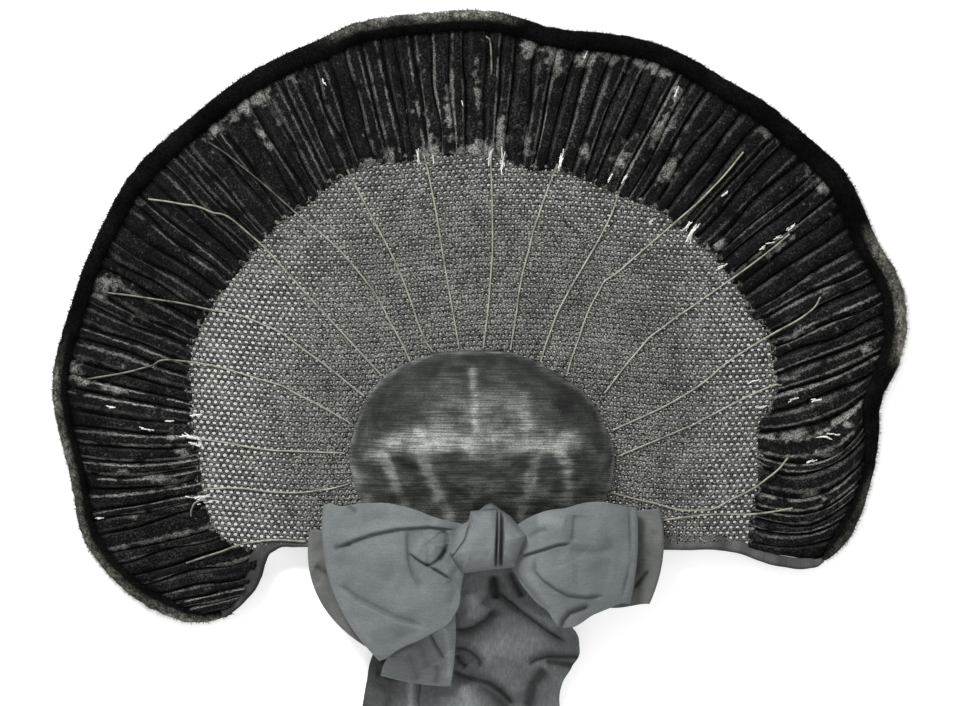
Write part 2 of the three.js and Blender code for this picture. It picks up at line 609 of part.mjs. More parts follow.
/** A wire: a thin tube along its route over the net. */
function wireGeometry(row) {
  const plan = new THREE.SplineCurve([0, 1, 2, 3].map((k) => new THREE.Vector2(row[`x${k}`], row[`y${k}`])));
  const stations = 10;
  const places = [...Array(stations + 1).keys()].map((k) => plan.getPoint(k / stations));
  const reliefs = places.map(reliefAt);
  const rising = places.map((place, k) => {
    const relief = Math.max(...reliefs.slice(Math.max(k - 1, 0), k + 2));
    return point(place, wheelHeight(place) + relief + 1.5 * GAP + WIRE_RADIUS);
  });
  const section = new THREE.Shape();
  section.setFromPoints(
    [...Array(5).keys()].map((k) => {
      const turn = (k * 2 * Math.PI) / 5;
      return new THREE.Vector2(WIRE_RADIUS * Math.cos(turn), WIRE_RADIUS * Math.sin(turn));
    }),
  );
  const curve = new THREE.CatmullRomCurve3(rising);
  const geometry = new THREE.ExtrudeGeometry(section, { steps: 7, extrudePath: curve, bevelEnabled: false });
  geometry.deleteAttribute("normal");
  geometry.deleteAttribute("uv");
  return geometry;
}

/** Places across a ribbon at one station, bulging outwards in the middle. */
function ribbonPlaces(row, outward, columns) {
  const a = new THREE.Vector2(row.ax, row.ay);
  const b = new THREE.Vector2(row.bx, row.by);
  return [...Array(columns).keys()].map((c) => {
    const share = c / (columns - 1);
    const bulge = (row.bulge ?? 0) * 4 * share * (1 - share);
    return a.clone().lerp(b, share).addScaledVector(outward, bulge);
  });
}

/** A loop of ribbon: out along its underside, round its end and back along its top. */
function loopGeometry(rows, base, rise) {
  const columns = 6;
  const outward = new THREE.Vector2(
    rows.at(-1).ax + rows.at(-1).bx - rows[0].ax - rows[0].bx,
    rows.at(-1).ay + rows.at(-1).by - rows[0].ay - rows[0].by,
  ).normalize();
  const layer = (row, level, push) =>
    ribbonPlaces(row, outward, columns).map((place) => {
      const moved = place.clone().addScaledVector(outward, push / STEP);
      return point(moved, base + rise * (row.mid + level * row.half));
    });
  const last = rows.at(-1);
  const bend = last.half * rise;
  const grid = [
    ...rows.map((row) => layer(row, -1, 0)),
    ...[-0.7, 0, 0.7].map((level) => layer(last, level, bend * Math.sqrt(1 - level * level))),
    ...rows.toReversed().map((row) => layer(row, 1, 0)),
  ];
  const side = outward.x < 0 ? -1 : 1;
  return sheet(grid, SILK_WALL * side);
}

/** A tail of ribbon: one sheet that falls from the knot and lies in cross folds. */
function tailGeometry(rows) {
  const columns = 7;
  const grid = rows.map((row, r) =>
    ribbonPlaces(row, new THREE.Vector2(), columns).map((place, c) => {
      const fold = row.fold * Math.sin(r * 2.4 + c * 1.3);
      return point(place, (KNOT_LOW - GAP) * row.height + fold);
    }),
  );
  return sheet(grid, SILK_WALL);
}

/** The knot: a rounded pad of cloth with a seam pressed into its face. */
function knotGeometry() {
  const outline = new THREE.SplineCurve([...KNOT, KNOT[0]].map((row) => new THREE.Vector2(row.x, row.y)));
  const middle = new THREE.Vector2(KNOT_MIDDLE.x, KNOT_MIDDLE.y);
  const columns = 22;
  const high = KNOT_LOW + BOW_RISE;
  const rings = [
    { size: 0.82, up: 0 },
    { size: 0.98, up: 0.25 },
    { size: 1, up: 0.55 },
    { size: 0.86, up: 0.86 },
    { size: 0.45, up: 1 },
  ];
  const points = [];
  const faces = [];
  for (const ring of rings) {
    for (let c = 0; c < columns; c++) {
      const place = middle.clone().lerp(outline.getPoint(c / columns), ring.size);
      const seam = Math.max(0, 1 - Math.abs(place.x - KNOT_SEAM.x) / KNOT_SEAM.width);
      const pressed = ring.up > 0.7 ? seam * KNOT_SEAM.depth : 0;
      points.push(point(place, lerp(KNOT_LOW, high, ring.up) - pressed));
    }
  }
  const at = (r, c) => r * columns + (c % columns);
  const bottom = points.push(point(middle, KNOT_LOW)) - 1;
  const apex = points.push(point(middle, high)) - 1;
  for (let c = 0; c < columns; c++) {
    for (let r = 0; r < rings.length - 1; r++) {
      faces.push([at(r, c), at(r, c + 1), at(r + 1, c + 1), at(r + 1, c)]);
    }
    faces.push([at(0, c + 1), at(0, c), bottom], [at(rings.length - 1, c), at(rings.length - 1, c + 1), apex]);
  }
  return solid(points, faces);
}

// The back loops lie on the hem binding, and the knot on the crown's lower slope.
const BOW_BASE = wheelHeight(new THREE.Vector2(0, -8.1)) + HEM_THICKNESS / 2 + GAP;
const KNOT_LOW = Math.max(...[-100, -90, -80, -70].map((angle) => crownPoint(angle, 0.33).z)) + GAP;

const LOOKS = {
  velvet: new THREE.MeshStandardMaterial({ color: 0x3a3a38, roughness: 0.95, metalness: 0 }),
  plush: new THREE.MeshStandardMaterial({ color: 0x191918, roughness: 1, metalness: 0 }),
  net: new THREE.MeshStandardMaterial({ color: 0x2a2a28, roughness: 0.9, metalness: 0 }),
  wire: new THREE.MeshStandardMaterial({ color: 0xa8a794, roughness: 0.4, metalness: 0.7 }),
  satin: new THREE.MeshStandardMaterial({ color: 0x757a7b, roughness: 0.5, metalness: 0 }),
  silk: new THREE.MeshStandardMaterial({ color: 0x70767a, roughness: 0.45, metalness: 0 }),
  moire: new THREE.MeshStandardMaterial({ color: 0x4c4f4e, roughness: 0.5, metalness: 0 }),
};

const group = new THREE.Group();

/** Adds one named piece to the bonnet, in a look of its own. */
function add(name, geometry, look) {
  const mesh = new THREE.Mesh(geometry, LOOKS[look].clone());
  mesh.name = name;
  group.add(mesh);
}

add("crown", crownGeometry(), "velvet");
add("rim_roll", rollGeometry(), "plush");
add("pleated_band", bandGeometry(), "plush");
add("wheel_net", netGeometry(), "net");
add("hem_binding", hemGeometry(), "satin");
WIRES.forEach((row, k) => add(`spoke_wire_${String(k + 1).padStart(2, "0")}`, wireGeometry(row), "wire"));
add("bow_knot", knotGeometry(), "silk");
for (const [name, rows] of Object.entries(LOOPS)) {
  add(name, loopGeometry(rows, BOW_BASE, BOW_RISE), "silk");
}
for (const [name, rows] of Object.entries(TAILS)) {
  add(name, tailGeometry(rows), "moire");
}
add("bow_tail_short", loopGeometry(SHORT_TAIL, 0, BOW_BASE), "silk");

// The origin goes to the middle of the plan, on the surface that the bonnet rests on.
const box = new THREE.Box3().setFromObject(group);
const middle = box.getCenter(new THREE.Vector3());
group.position.set(-middle.x, -middle.y, -box.min.z);

export default group;
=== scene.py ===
import logging
import math
from dataclasses import dataclass, field
from enum import Enum
from typing import Iterable, Sequence

import bmesh
import bpy
import numpy as np
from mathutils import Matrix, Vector, noise


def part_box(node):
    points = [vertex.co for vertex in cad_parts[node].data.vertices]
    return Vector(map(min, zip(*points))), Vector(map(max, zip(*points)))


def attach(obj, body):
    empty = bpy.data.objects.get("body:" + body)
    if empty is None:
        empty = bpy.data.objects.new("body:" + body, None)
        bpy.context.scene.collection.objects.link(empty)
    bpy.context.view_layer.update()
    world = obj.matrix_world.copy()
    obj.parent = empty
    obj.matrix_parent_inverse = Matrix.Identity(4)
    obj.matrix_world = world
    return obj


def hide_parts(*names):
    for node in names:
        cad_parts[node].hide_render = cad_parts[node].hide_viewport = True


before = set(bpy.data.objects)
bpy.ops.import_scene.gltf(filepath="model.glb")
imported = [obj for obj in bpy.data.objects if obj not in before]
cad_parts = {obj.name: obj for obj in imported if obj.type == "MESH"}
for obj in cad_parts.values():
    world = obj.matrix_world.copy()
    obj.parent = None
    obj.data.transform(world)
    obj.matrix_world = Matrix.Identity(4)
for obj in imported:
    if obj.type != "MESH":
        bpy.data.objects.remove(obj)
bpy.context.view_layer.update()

LOG = logging.getLogger("bonnet")
SEED = 7
MM = 0.001
Pair = tuple[float, float]
Colour = tuple[float, float, float]
Piece = bpy.types.Object
Node = bpy.types.Node
Socket = bpy.types.NodeSocket

RIM = [
    # angle, reach of the wheel's edge, thickness of the roll
    (-15.8, 35.2, 0.9), (-12.9, 36.7, 1.5), (-8.5, 38.0, 1.8), (-3.5, 38.8, 1.4), (1, 39.5, 1.3),
    (5.7, 40.1, 1.7), (9.6, 40.7, 2.0), (12.8, 42.4, 2.2), (16, 44.0, 2.3), (20, 45.3, 2.4),
    (25, 46.0, 2.4), (30, 45.8, 2.3), (37, 46.8, 2.3), (41, 47.0, 2.3), (46, 46.6, 2.2),
    (52, 46.5, 2.1), (58, 46.1, 2.0), (64, 46.2, 2.0), (70, 45.9, 2.0), (75, 45.3, 2.0),
    (80, 44.8, 2.0), (84, 45.2, 2.0), (89, 45.9, 2.1), (97, 46.0, 2.1), (106, 46.4, 2.1),
    (111, 46.0, 2.1), (121, 46.0, 2.1), (130, 45.7, 2.0), (139, 45.9, 2.0), (146, 45.3, 1.8),
    (153, 44.7, 1.7), (160, 44.2, 1.7), (168, 43.9, 1.7), (172.5, 43.1, 1.7), (178, 41.8, 1.7),
    (183, 41.0, 1.7), (189, 40.6, 1.7), (193, 39.7, 1.7), (197, 38.4, 1.7), (200.6, 37.0, 1.8),
    (203.5, 35.6, 1.9), (206, 34.2, 1.8), (208.3, 32.5, 1.5), (209.6, 30.7, 1.2), (210.6, 28.9, 0.8),
]
MEET = [
    # angle, reach of the line where the net meets the band
    (-16.8, 27.9), (-13, 27.6), (-9, 27.4), (-5, 27.7), (6, 27.8), (9, 28.1), (13, 29.8), (17, 30.6),
    (21, 31.2), (26, 31.7), (30, 31.1), (36, 31.5), (50, 31.3), (56, 31.4), (63, 30.7), (76, 30.9),
    (81, 30.4), (87, 31.2), (104, 31.8), (114, 32.4), (123, 31.7), (131, 31.8), (139, 31.4),
    (155, 31.5), (161, 30.9), (166, 29.9), (171, 29.4), (176, 28.5), (188, 27.9), (192, 27.5),
    (195.5, 26.6), (198, 25.3), (199.8, 24.2), (202.4, 24.4), (205.2, 25.6), (207.4, 27.0), (209, 29.0),
]
LEAN = [
    # angle of a fold on the roll, its angle on the net, its sag between them
    (-15.7, -16.7, 0.1), (-9.4, -14, 1.1), (-6.9, -12, 1.5), (-3.3, -9.5, 2.0), (0.8, -5.8, 2.2),
    (3.8, -1, 2.3), (8.3, 4.1, 2.4), (11.2, 8.2, 1.5), (15, 13.5, 0.6), (22, 22, 0), (165, 165, 0),
    (175.5, 174, -0.3), (181, 179.8, -0.6), (187, 185.5, 0), (191, 188.8, 0), (193, 192.4, 0),
    (196, 195.5, 0), (199.6, 200.8, 0), (201.8, 204.2, 0), (204.3, 206.4, 0), (207.1, 208, 0),
    (209.3, 208.95, 0),
]
CROWN_EDGE = [
    # angle, reach of the crown's lower edge
    (-90, 6.0), (-55, 7.0), (-35, 9.5), (-22, 12.0), (-12, 12.9), (0, 13.2), (10, 13.4), (20, 13.1),
    (32, 13.0), (47, 12.4), (62, 12.1), (76, 12.05), (95, 12.0), (113, 12.5), (125, 13.0),
    (137, 13.4), (148, 13.5), (161, 13.3), (170, 13.3), (182, 13.0), (194, 12.5), (206, 11.3),
    (222, 8.6), (240, 6.7), (270, 6.0),
]
HEM = [
    # x, y of the hem's lower edge, width of the binding
    (-25.6, -14.9, 0.8), (-23.4, -13.0, 1.2), (-22.0, -10.9, 1.5), (-21.5, -9.3, 1.7),
    (-20.7, -8.2, 1.3), (-18.9, -7.8, 0.9), (-12, -8.0, 1.0), (0, -8.1, 1.2), (12, -8.1, 1.5),
    (20.6, -8.1, 1.7), (25, -8.3, 1.3), (27.8, -9.2, 1.2), (30.2, -9.8, 1.1), (33.2, -9.9, 1.0),
    (34.3, -9.3, 0.5),
]


class Table:
    """Rows of readings that are read between the rows as a smooth curve."""

    def __init__(self, rows: Sequence[Sequence[float]]) -> None:
        """Keeps the rows.

        Args:
            rows: The readings; the first column is what they are read by.
        """
        self.rows = np.array(rows, float)

    def at(self, column: int, where: np.ndarray | float) -> np.ndarray:
        """Reads a column at places between its rows.

        Args:
            column: The column's number.
            where: Places on the first column.

        Returns:
            The column's values there.
        """
        keys = self.rows[:, 0]
        values = self.rows[:, column]
        last = len(keys) - 1
        spot = np.asarray(where, float)
        row = np.clip(np.searchsorted(keys, spot, side="right") - 1, 0, last - 1)
        before = np.maximum(np.arange(last + 1) - 1, 0)
        after = np.minimum(np.arange(last + 1) + 1, last)
        slope = (values[after] - values[before]) / (keys[after] - keys[before])
        span = keys[row + 1] - keys[row]
        share = np.clip((spot - keys[row]) / span, 0, 1)
        ease = share * share * (3 - 2 * share)
        start = values[row] + slope[row] * span * share
        end = values[row + 1] - slope[row + 1] * span * (1 - share)
        return start + (end - start) * ease

    def pair(self, column: int, where: np.ndarray) -> np.ndarray:
        """Reads plan places from a column and the next one."""
        return np.stack([self.at(column, where), self.at(column + 1, where)], axis=-1)


def unit(angle: np.ndarray | float) -> np.ndarray:
    """The plan direction at an angle in degrees."""
    turn = np.radians(angle)
    return np.stack([np.cos(turn), np.sin(turn)], axis=-1)


def smooth(value: np.ndarray | float, low: float, high: float) -> np.ndarray:
    """Rises smoothly from 0 at low to 1 at high."""
    share = np.clip((np.asarray(value, float) - low) / (high - low), 0, 1)
    return share * share * (3 - 2 * share)


def ripple(places: np.ndarray, scale: float, seed: float = 0.0) -> np.ndarray:
    """Soft noise over plan places.

    Args:
        places: Plan places, in steps.
        scale: Number of bumps in one step.
        seed: Moves the pattern on.

    Returns:
        A value from about -1 to 1 for each place.
    """
    flat = places.reshape(-1, 2)
    values = [noise.noise(Vector((x * scale + seed, y * scale - seed, seed))) for x, y in flat]
    return np.array(values).reshape(places.shape[:-1])


def waver(along: np.ndarray, scale: float, seed: float = 0.0) -> np.ndarray:
    """Soft noise along a line.

    Args:
        along: Places on the line.
        scale: Number of bumps in one unit.
        seed: Moves the pattern on.

    Returns:
        A value from about -1 to 1 for each place.
    """
    return ripple(np.stack([along * scale, along * 0], axis=-1), 1.0, seed)


def distance_to_line(start: np.ndarray, run: np.ndarray, where: np.ndarray) -> tuple[np.ndarray, np.ndarray]:
    """How far plan places lie from a straight line.

    Args:
        start: Where the line starts.
        run: The way from there to its end.
        where: Plan places.

    Returns:
        The distances, and the share of the line at its nearest point.
    """
    offset = where - start
    share = np.clip(offset @ run / (run @ run), 0, 1)
    return np.linalg.norm(offset - share[..., None] * run, axis=-1), share


def hump(distance: np.ndarray, width: float) -> np.ndarray:
    """A bell curve, 1 at distance 0."""
    return np.exp(-((distance / width) ** 2))


@dataclass(frozen=True)
class Stretch:
    """A stretch of the wheel where something is strong, with soft ends given as ranges of angles."""

    rise: Pair
    fall: Pair
    strength: float = 1.0

    def at(self, angle: np.ndarray) -> np.ndarray:
        """How strong it is at angles about the hub."""
        return self.strength * smooth(angle, *self.rise) * (1 - smooth(angle, *self.fall))


@dataclass(frozen=True)
class WheelForm:
    """The plan of the wheel and the low cone that its cloth lies on."""

    step: float
    hub: Pair
    rim_height: float = 5 * MM
    rise: float = 12 * MM
    hollow: float = 1.15
    rim: Table = field(default_factory=lambda: Table(RIM))
    meet: Table = field(default_factory=lambda: Table(MEET))
    lean: Table = field(default_factory=lambda: Table(LEAN))
    crown: Table = field(default_factory=lambda: Table(CROWN_EDGE))

    @classmethod
    def from_frame(cls) -> "WheelForm":
        """Finds the size of a step and the hub from the frame's roll.

        Returns:
            The form, sized so that its outer edge fits the roll.
        """
        low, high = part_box("rim_roll")
        rim = Table(RIM)
        angles = np.linspace(RIM[0][0], RIM[-1][0], 2000)
        edge = unit(angles) * rim.at(1, angles)[:, None]
        step = (high[0] - low[0]) / np.ptp(edge[:, 0])
        hub = (low[0] - edge[:, 0].min() * step, high[1] - edge[:, 1].max() * step)
        return cls(step=step, hub=hub)

    @property
    def crown_base(self) -> float:
        """Height of the wheel's cloth where it meets the crown."""
        return self.rim_height + self.rise

    def angle(self, places: np.ndarray) -> np.ndarray:
        """Angles of plan places about the hub, counted on from the right end of the wheel."""
        turn = np.degrees(np.arctan2(places[..., 1], places[..., 0]))
        return np.where(turn < -90, turn + 360, turn)

    def rim_reach(self, angle: np.ndarray) -> np.ndarray:
        """Reach of the wheel's edge; below the hem it runs evenly from end to end.

        Args:
            angle: Angles about the hub.

        Returns:
            The reach, in steps.
        """
        first, last = self.rim.rows[0], self.rim.rows[-1]
        turned = np.where(angle < first[0], angle + 360, angle)
        share = (turned - last[0]) / (first[0] + 360 - last[0])
        below = last[1] + (first[1] - last[1]) * share
        inside = (angle >= first[0]) & (angle <= last[0])
        return np.where(inside, self.rim.at(1, angle), below)

    def height(self, places: np.ndarray) -> np.ndarray:
        """Height of the middle of the wheel's cloth.

        Args:
            places: Plan places, in steps.

        Returns:
            The heights, in metres.
        """
        angle = self.angle(places)
        inner = self.crown.at(1, angle)
        reach = np.linalg.norm(places, axis=-1)
        share = np.clip((reach - inner) / (self.rim_reach(angle) - inner), 0, 1)
        return self.rim_height + self.rise * (1 - share) ** self.hollow

    def past_net(self, places: np.ndarray) -> np.ndarray:
        """How far plan places lie past the line where the net meets the band."""
        return np.linalg.norm(places, axis=-1) - self.meet.at(1, self.angle(places))

    def edge(self, angle: np.ndarray) -> tuple[np.ndarray, np.ndarray]:
        """The wheel's outer edge.

        Args:
            angle: Angles about the hub.

        Returns:
            The edge's places, and the directions outwards there.
        """
        first, last = self.rim.rows[0][0], self.rim.rows[-1][0]

        def place(at: np.ndarray) -> np.ndarray:
            """A place on the edge."""
            return unit(at) * self.rim.at(1, at)[..., None]

        along = place(np.minimum(angle + 1, last)) - place(np.maximum(angle - 1, first))
        along /= np.linalg.norm(along, axis=-1, keepdims=True)
        return place(angle), np.stack([along[..., 1], -along[..., 0]], axis=-1)

    def points(self, places: np.ndarray, height: np.ndarray | float) -> np.ndarray:
        """Puts plan places and heights together as points.

        Args:
            places: Plan places, in steps.
            height: Heights, in metres.

        Returns:
            The points, in metres.
        """
        flat = places * self.step + np.array(self.hub)
        level = np.broadcast_to(np.asarray(height, float), places.shape[:-1])
        return np.concatenate([flat, level[..., None]], axis=-1)


class NodeTree:
    """Small helper that adds nodes to a tree and joins them."""

    def __init__(self, tree: bpy.types.NodeTree) -> None:
        """Clears the tree and keeps it."""
        tree.nodes.clear()
        self.tree = tree

    def add(self, kind: str, inputs: dict | None = None, **settings: object) -> Node:
        """Adds a node.

        Args:
            kind: The node's type.
            inputs: Values or sockets for its inputs, by name or number.
            **settings: Properties of the node.

        Returns:
            The node.
        """
        node = self.tree.nodes.new(kind)
        for name, value in settings.items():
            setattr(node, name, value)
        for name, value in (inputs or {}).items():
            if isinstance(value, Socket):
                self.tree.links.new(value, node.inputs[name])
            else:
                node.inputs[name].default_value = value
        return node

    def math(self, operation: str, *values: object, clamp: bool = False) -> Socket:
        """Adds a math node and gives its output."""
        node = self.add("ShaderNodeMath", dict(enumerate(values)), operation=operation, use_clamp=clamp)
        return node.outputs[0]

    def ranged(self, value: object, low: float, high: float, start: float = 0.0,
               end: float = 1.0) -> Socket:
        """Maps a value smoothly from one range to another.

        Args:
            value: The value.
            low: Where the range starts.
            high: Where it ends.
            start: The result at low.
            end: The result at high.

        Returns:
            The result.
        """
        node = self.add("ShaderNodeMapRange", {"Value": value, "From Min": low, "From Max": high,
                                               "To Min": start, "To Max": end},
                        interpolation_type="SMOOTHSTEP")
        return node.outputs["Result"]

    def noise(self, place: Socket, scale: float, detail: float = 3.0,
              stretch: tuple[float, float, float] = (1.0, 1.0, 1.0)) -> Socket:
        """Noise over coordinates that are first stretched.

        Args:
            place: The coordinates.
            scale: Number of bumps in a metre.
            detail: Layers of finer noise.
            stretch: What each coordinate is multiplied by.

        Returns:
            The noise, from 0 to 1.
        """
        spot = self.add("ShaderNodeVectorMath", {0: place, 1: stretch}, operation="MULTIPLY").outputs[0]
        noise_node = self.add("ShaderNodeTexNoise", {"Vector": spot, "Scale": scale, "Detail": detail})
        return noise_node.outputs["Fac"]

    def attribute(self, name: str) -> Socket:
        """A value stored on the mesh, for a material."""
        return self.add("ShaderNodeAttribute", attribute_name=name).outputs["Fac"]

    def stored(self, name: str) -> Socket:
        """A value stored on the mesh, for a geometry tree."""
        return self.add("GeometryNodeInputNamedAttribute", {"Name": name}, data_type="FLOAT").outputs[0]

    def blend(self, share: object, first: object, second: object) -> Socket:
        """Mixes two colours."""
        node = self.add("ShaderNodeMix", {"Factor": share, 6: first, 7: second}, data_type="RGBA")
        return node.outputs[2]


class Weave(Enum):
    """How a cloth's surface looks close to."""

    PILE = "pile"
    NAP = "nap"
    PLAIN = "plain"
    MOIRE = "moire"
    THREAD = "thread"


@dataclass(frozen=True)
class ClothFinish:
    """A cloth, with its fresh and its worn colour."""

    name: str
    fresh: Colour
    worn: Colour
    weave: Weave
    roughness: float = 0.9
    shine: float = 0.15
    relief: float = 0.25
    mottle: float = 0.3
    grain: float = 0.4
    lint: float = 0.0
    relief_height: float = 0.4 * MM
    # How far the painted_shading value darkens the colour: painted shade in creases and hollows.
    painted_shading_depth: float = 0.85
    lint_colour: Colour = (0.4, 0.4, 0.38)

    def build(self) -> bpy.types.Material:
        """Makes the material; the mesh's wear_and_painted_light value mixes in the worn colour, and its
        painted_shading value darkens the cloth as painted shade, or lightens it as painted highlight below
        zero.

        Returns:
            The material.
        """
        material = bpy.data.materials.new(self.name)
        material.use_nodes = True
        nodes = NodeTree(material.node_tree)
        place = nodes.add("ShaderNodeTexCoord").outputs["Object"]
        base = nodes.blend(self.worn_share(nodes, place), (*self.fresh, 1), (*self.worn, 1))
        broad = nodes.ranged(nodes.noise(place, 60.0), 0.3, 0.7, 1 - self.mottle, 1 + self.mottle)
        fine = nodes.ranged(nodes.noise(place, 1500.0, 2.0), 0.3, 0.7, 1 - self.grain, 1 + self.grain)
        # Painted shade from the painted_shading value; below zero it is a painted highlight.
        kept = nodes.math("MULTIPLY_ADD", nodes.attribute("painted_shading"), -self.painted_shading_depth, 1.0)
        shade = nodes.math("MULTIPLY", nodes.math("MULTIPLY", broad, fine), kept)
        colour = nodes.add("ShaderNodeVectorMath", {0: base, "Scale": shade}, operation="SCALE").outputs[0]
        if self.lint:
            specks = nodes.ranged(nodes.noise(place, 1100.0, 1.0), 0.74, 0.8, 0.0, self.lint)
            colour = nodes.blend(specks, colour, (*self.lint_colour, 1))
        surface = nodes.add("ShaderNodeBsdfPrincipled", {"Base Color": colour, "Roughness": self.roughness,
                                                         "Specular IOR Level": self.shine})
        bump = nodes.add("ShaderNodeBump", {"Strength": self.relief, "Distance": self.relief_height,
                                            "Height": self.surface_relief(nodes, place)})
        nodes.tree.links.new(bump.outputs[0], surface.inputs["Normal"])
        nodes.add("ShaderNodeOutputMaterial", {"Surface": surface.outputs[0]})
        return material

    def worn_share(self, nodes: NodeTree, place: Socket) -> Socket:
        """How much of the worn colour shows.

        Args:
            nodes: The material's tree.
            place: The coordinates.

        Returns:
            The share, from 0 to 1.
        """
        # Share of the lighter worn colour: rubbed wear, and on the bow and the crown also painted light and
        # shade.
        wear_and_painted_light = nodes.attribute("wear_and_painted_light")
        if self.weave is Weave.NAP:
            streaks = nodes.ranged(nodes.noise(place, 1.0, 6.0, (60.0, 1700.0, 60.0)), 0.38, 0.63, 0.5, 1.35)
            rubbed = nodes.ranged(nodes.noise(place, 130.0, 4.0), 0.35, 0.65, 0.55, 1.25)
            return nodes.math("MULTIPLY", nodes.math("MULTIPLY", wear_and_painted_light, streaks), rubbed, clamp=True)
        if self.weave is Weave.PLAIN:
            patches = nodes.ranged(nodes.noise(place, 1.0, 4.0, (160.0, 1400.0, 400.0)), 0.3, 0.7, 0.75, 1.25)
        elif self.weave is Weave.MOIRE:
            patches = nodes.ranged(nodes.noise(place, 1.0, 5.0, (900.0, 300.0, 300.0)), 0.4, 0.66, 0.86, 1.2)
        elif self.weave is Weave.THREAD:
            patches = nodes.ranged(nodes.noise(place, 1500.0, 2.0), 0.42, 0.62, 0.1, 1.6)
        else:
            patches = nodes.ranged(nodes.noise(place, 420.0, 5.0), 0.3, 0.7, 0.35, 1.5)
        return nodes.math("MULTIPLY", wear_and_painted_light, patches, clamp=True)

    def surface_relief(self, nodes: NodeTree, place: Socket) -> Socket:
        """Relief of the pile or weave, as a height for the bump.

        Args:
            nodes: The material's tree.
            place: The coordinates.

        Returns:
            The height socket.
        """
        if self.weave is Weave.PLAIN:
            return nodes.noise(place, 1.0, 2.0, (2600.0, 900.0, 900.0))
        if self.weave is Weave.MOIRE:
            return nodes.noise(place, 1.0, 5.0, (420.0, 190.0, 190.0))
        return nodes.noise(place, 1300.0, 4.0)


@dataclass(frozen=True)
class FoldedVelvet(ClothFinish):
    """Velvet gathered into folds, rubbed pale and lit with painted sheen in lines along their shoulders."""

    def worn_share(self, nodes: NodeTree, place: Socket) -> Socket:
        """Pale lines along the folds' shoulders, partly rubbed pile and partly painted sheen; rubbed patches
        where the mesh's wear is high; and a mottled haze with painted sheen on the fold tops.

        Args:
            nodes: The material's tree.
            place: The coordinates.

        Returns:
            The share, from 0 to 1.
        """
        jag = nodes.math("MULTIPLY_ADD", nodes.noise(place, 420.0, 4.0), 0.2, -0.1)
        phase = nodes.attribute("phase")
        turn = nodes.math("FRACT", phase)
        fold = nodes.math("FLOOR", phase)
        crest = nodes.attribute("crest")
        broken = nodes.ranged(nodes.noise(place, 120.0, 5.0), 0.32, 0.52)
        lines = None
        # Two pale lines on each fold's shoulders: partly rubbed pile, partly painted sheen.
        for shift, side, width in ((0.3, 0.78, 0.12), (7.7, 0.26, 0.09)):
            dice = nodes.add("ShaderNodeTexWhiteNoise", {"W": nodes.math("ADD", fold, shift)},
                             noise_dimensions="1D").outputs["Value"]
            middle = nodes.math("ADD", nodes.math("MULTIPLY_ADD", dice, 0.16, side - 0.08), jag)
            away = nodes.math("ABSOLUTE", nodes.math("SUBTRACT", turn, middle))
            line = nodes.ranged(away, 0.02, width, 1.0, 0.0)
            strong = nodes.math("MULTIPLY", line, nodes.ranged(dice, 0.15, 0.8, 0.12, 1.5))
            lines = strong if lines is None else nodes.math("MAXIMUM", lines, strong)
        shown = nodes.math("MULTIPLY", nodes.math("MULTIPLY", lines, crest), broken)
        uneven = nodes.math("MULTIPLY_ADD", nodes.noise(place, 260.0, 8.0), 2.6, -1.3)
        patch = nodes.ranged(nodes.math("ADD", nodes.attribute("wear_and_painted_light"), uneven), 0.3, 0.95, 0.0, 1.0)
        # A mottled grey haze, stronger on the fold tops: painted sheen on the crests.
        dust = nodes.ranged(nodes.noise(place, 900.0, 6.0), 0.42, 0.75, 0.0, 0.3)
        cloud = nodes.ranged(nodes.noise(place, 90.0, 3.0), 0.35, 0.7, 0.15, 1.0)
        haze = nodes.math("MULTIPLY", nodes.math("MULTIPLY", dust, cloud),
                          nodes.math("MULTIPLY_ADD", crest, 0.75, 0.3))
        return nodes.math("MAXIMUM", nodes.math("MAXIMUM", shown, patch), haze, clamp=True)


@dataclass(frozen=True)
class WireFinish:
    """Dull silvery brass wire, darker where the mesh's wear is high."""

    name: str = "dull_brass_wire"
    bright: Colour = (0.3, 0.295, 0.235)
    dull: Colour = (0.035, 0.035, 0.03)

    def build(self) -> bpy.types.Material:
        """Makes the material, with darker tarnish along the wire.

        Returns:
            The material.
        """
        material = bpy.data.materials.new(self.name)
        material.use_nodes = True
        nodes = NodeTree(material.node_tree)
        place = nodes.add("ShaderNodeTexCoord").outputs["Object"]
        spots = nodes.ranged(nodes.noise(place, 220.0, 5.0), 0.38, 0.72, 0.0, 0.65)
        share = nodes.math("ADD", spots, nodes.attribute("wear_and_painted_light"), clamp=True)
        colour = nodes.blend(share, (*self.bright, 1), (*self.dull, 1))
        surface = nodes.add("ShaderNodeBsdfPrincipled", {"Base Color": colour, "Metallic": 0.2,
                                                         "Roughness": 0.45})
        nodes.add("ShaderNodeOutputMaterial", {"Surface": surface.outputs[0]})
        return material


BAND_VELVET = FoldedVelvet("black_band_velvet", (0.0034, 0.0034, 0.004), (0.13, 0.133, 0.122), Weave.PILE,
                           roughness=0.95, shine=0.08, relief=0.9, mottle=0.35, grain=0.8, lint=0.25)
PLUSH = ClothFinish("black_plush", (0.003, 0.003, 0.003), (0.155, 0.152, 0.128), Weave.PILE, roughness=1.0,
                    shine=0.05, relief=0.6, mottle=0.5, grain=0.8)
CROWN_VELVET = ClothFinish("worn_crown_velvet", (0.012, 0.013, 0.0125), (0.27, 0.285, 0.262), Weave.NAP,
                           roughness=0.85, shine=0.12, relief=0.2, mottle=0.3, grain=0.3, lint=0.12)
NET_THREAD = ClothFinish("black_net_thread", (0.012, 0.012, 0.011), (0.16, 0.16, 0.147), Weave.THREAD,
                         roughness=0.9, shine=0.1, relief=0.2, mottle=0.2, grain=0.5)
FRAY_THREAD = ClothFinish("pale_fray_thread", (0.62, 0.62, 0.58), (0.8, 0.8, 0.76), Weave.PLAIN, mottle=0.1,
                          grain=0.1)
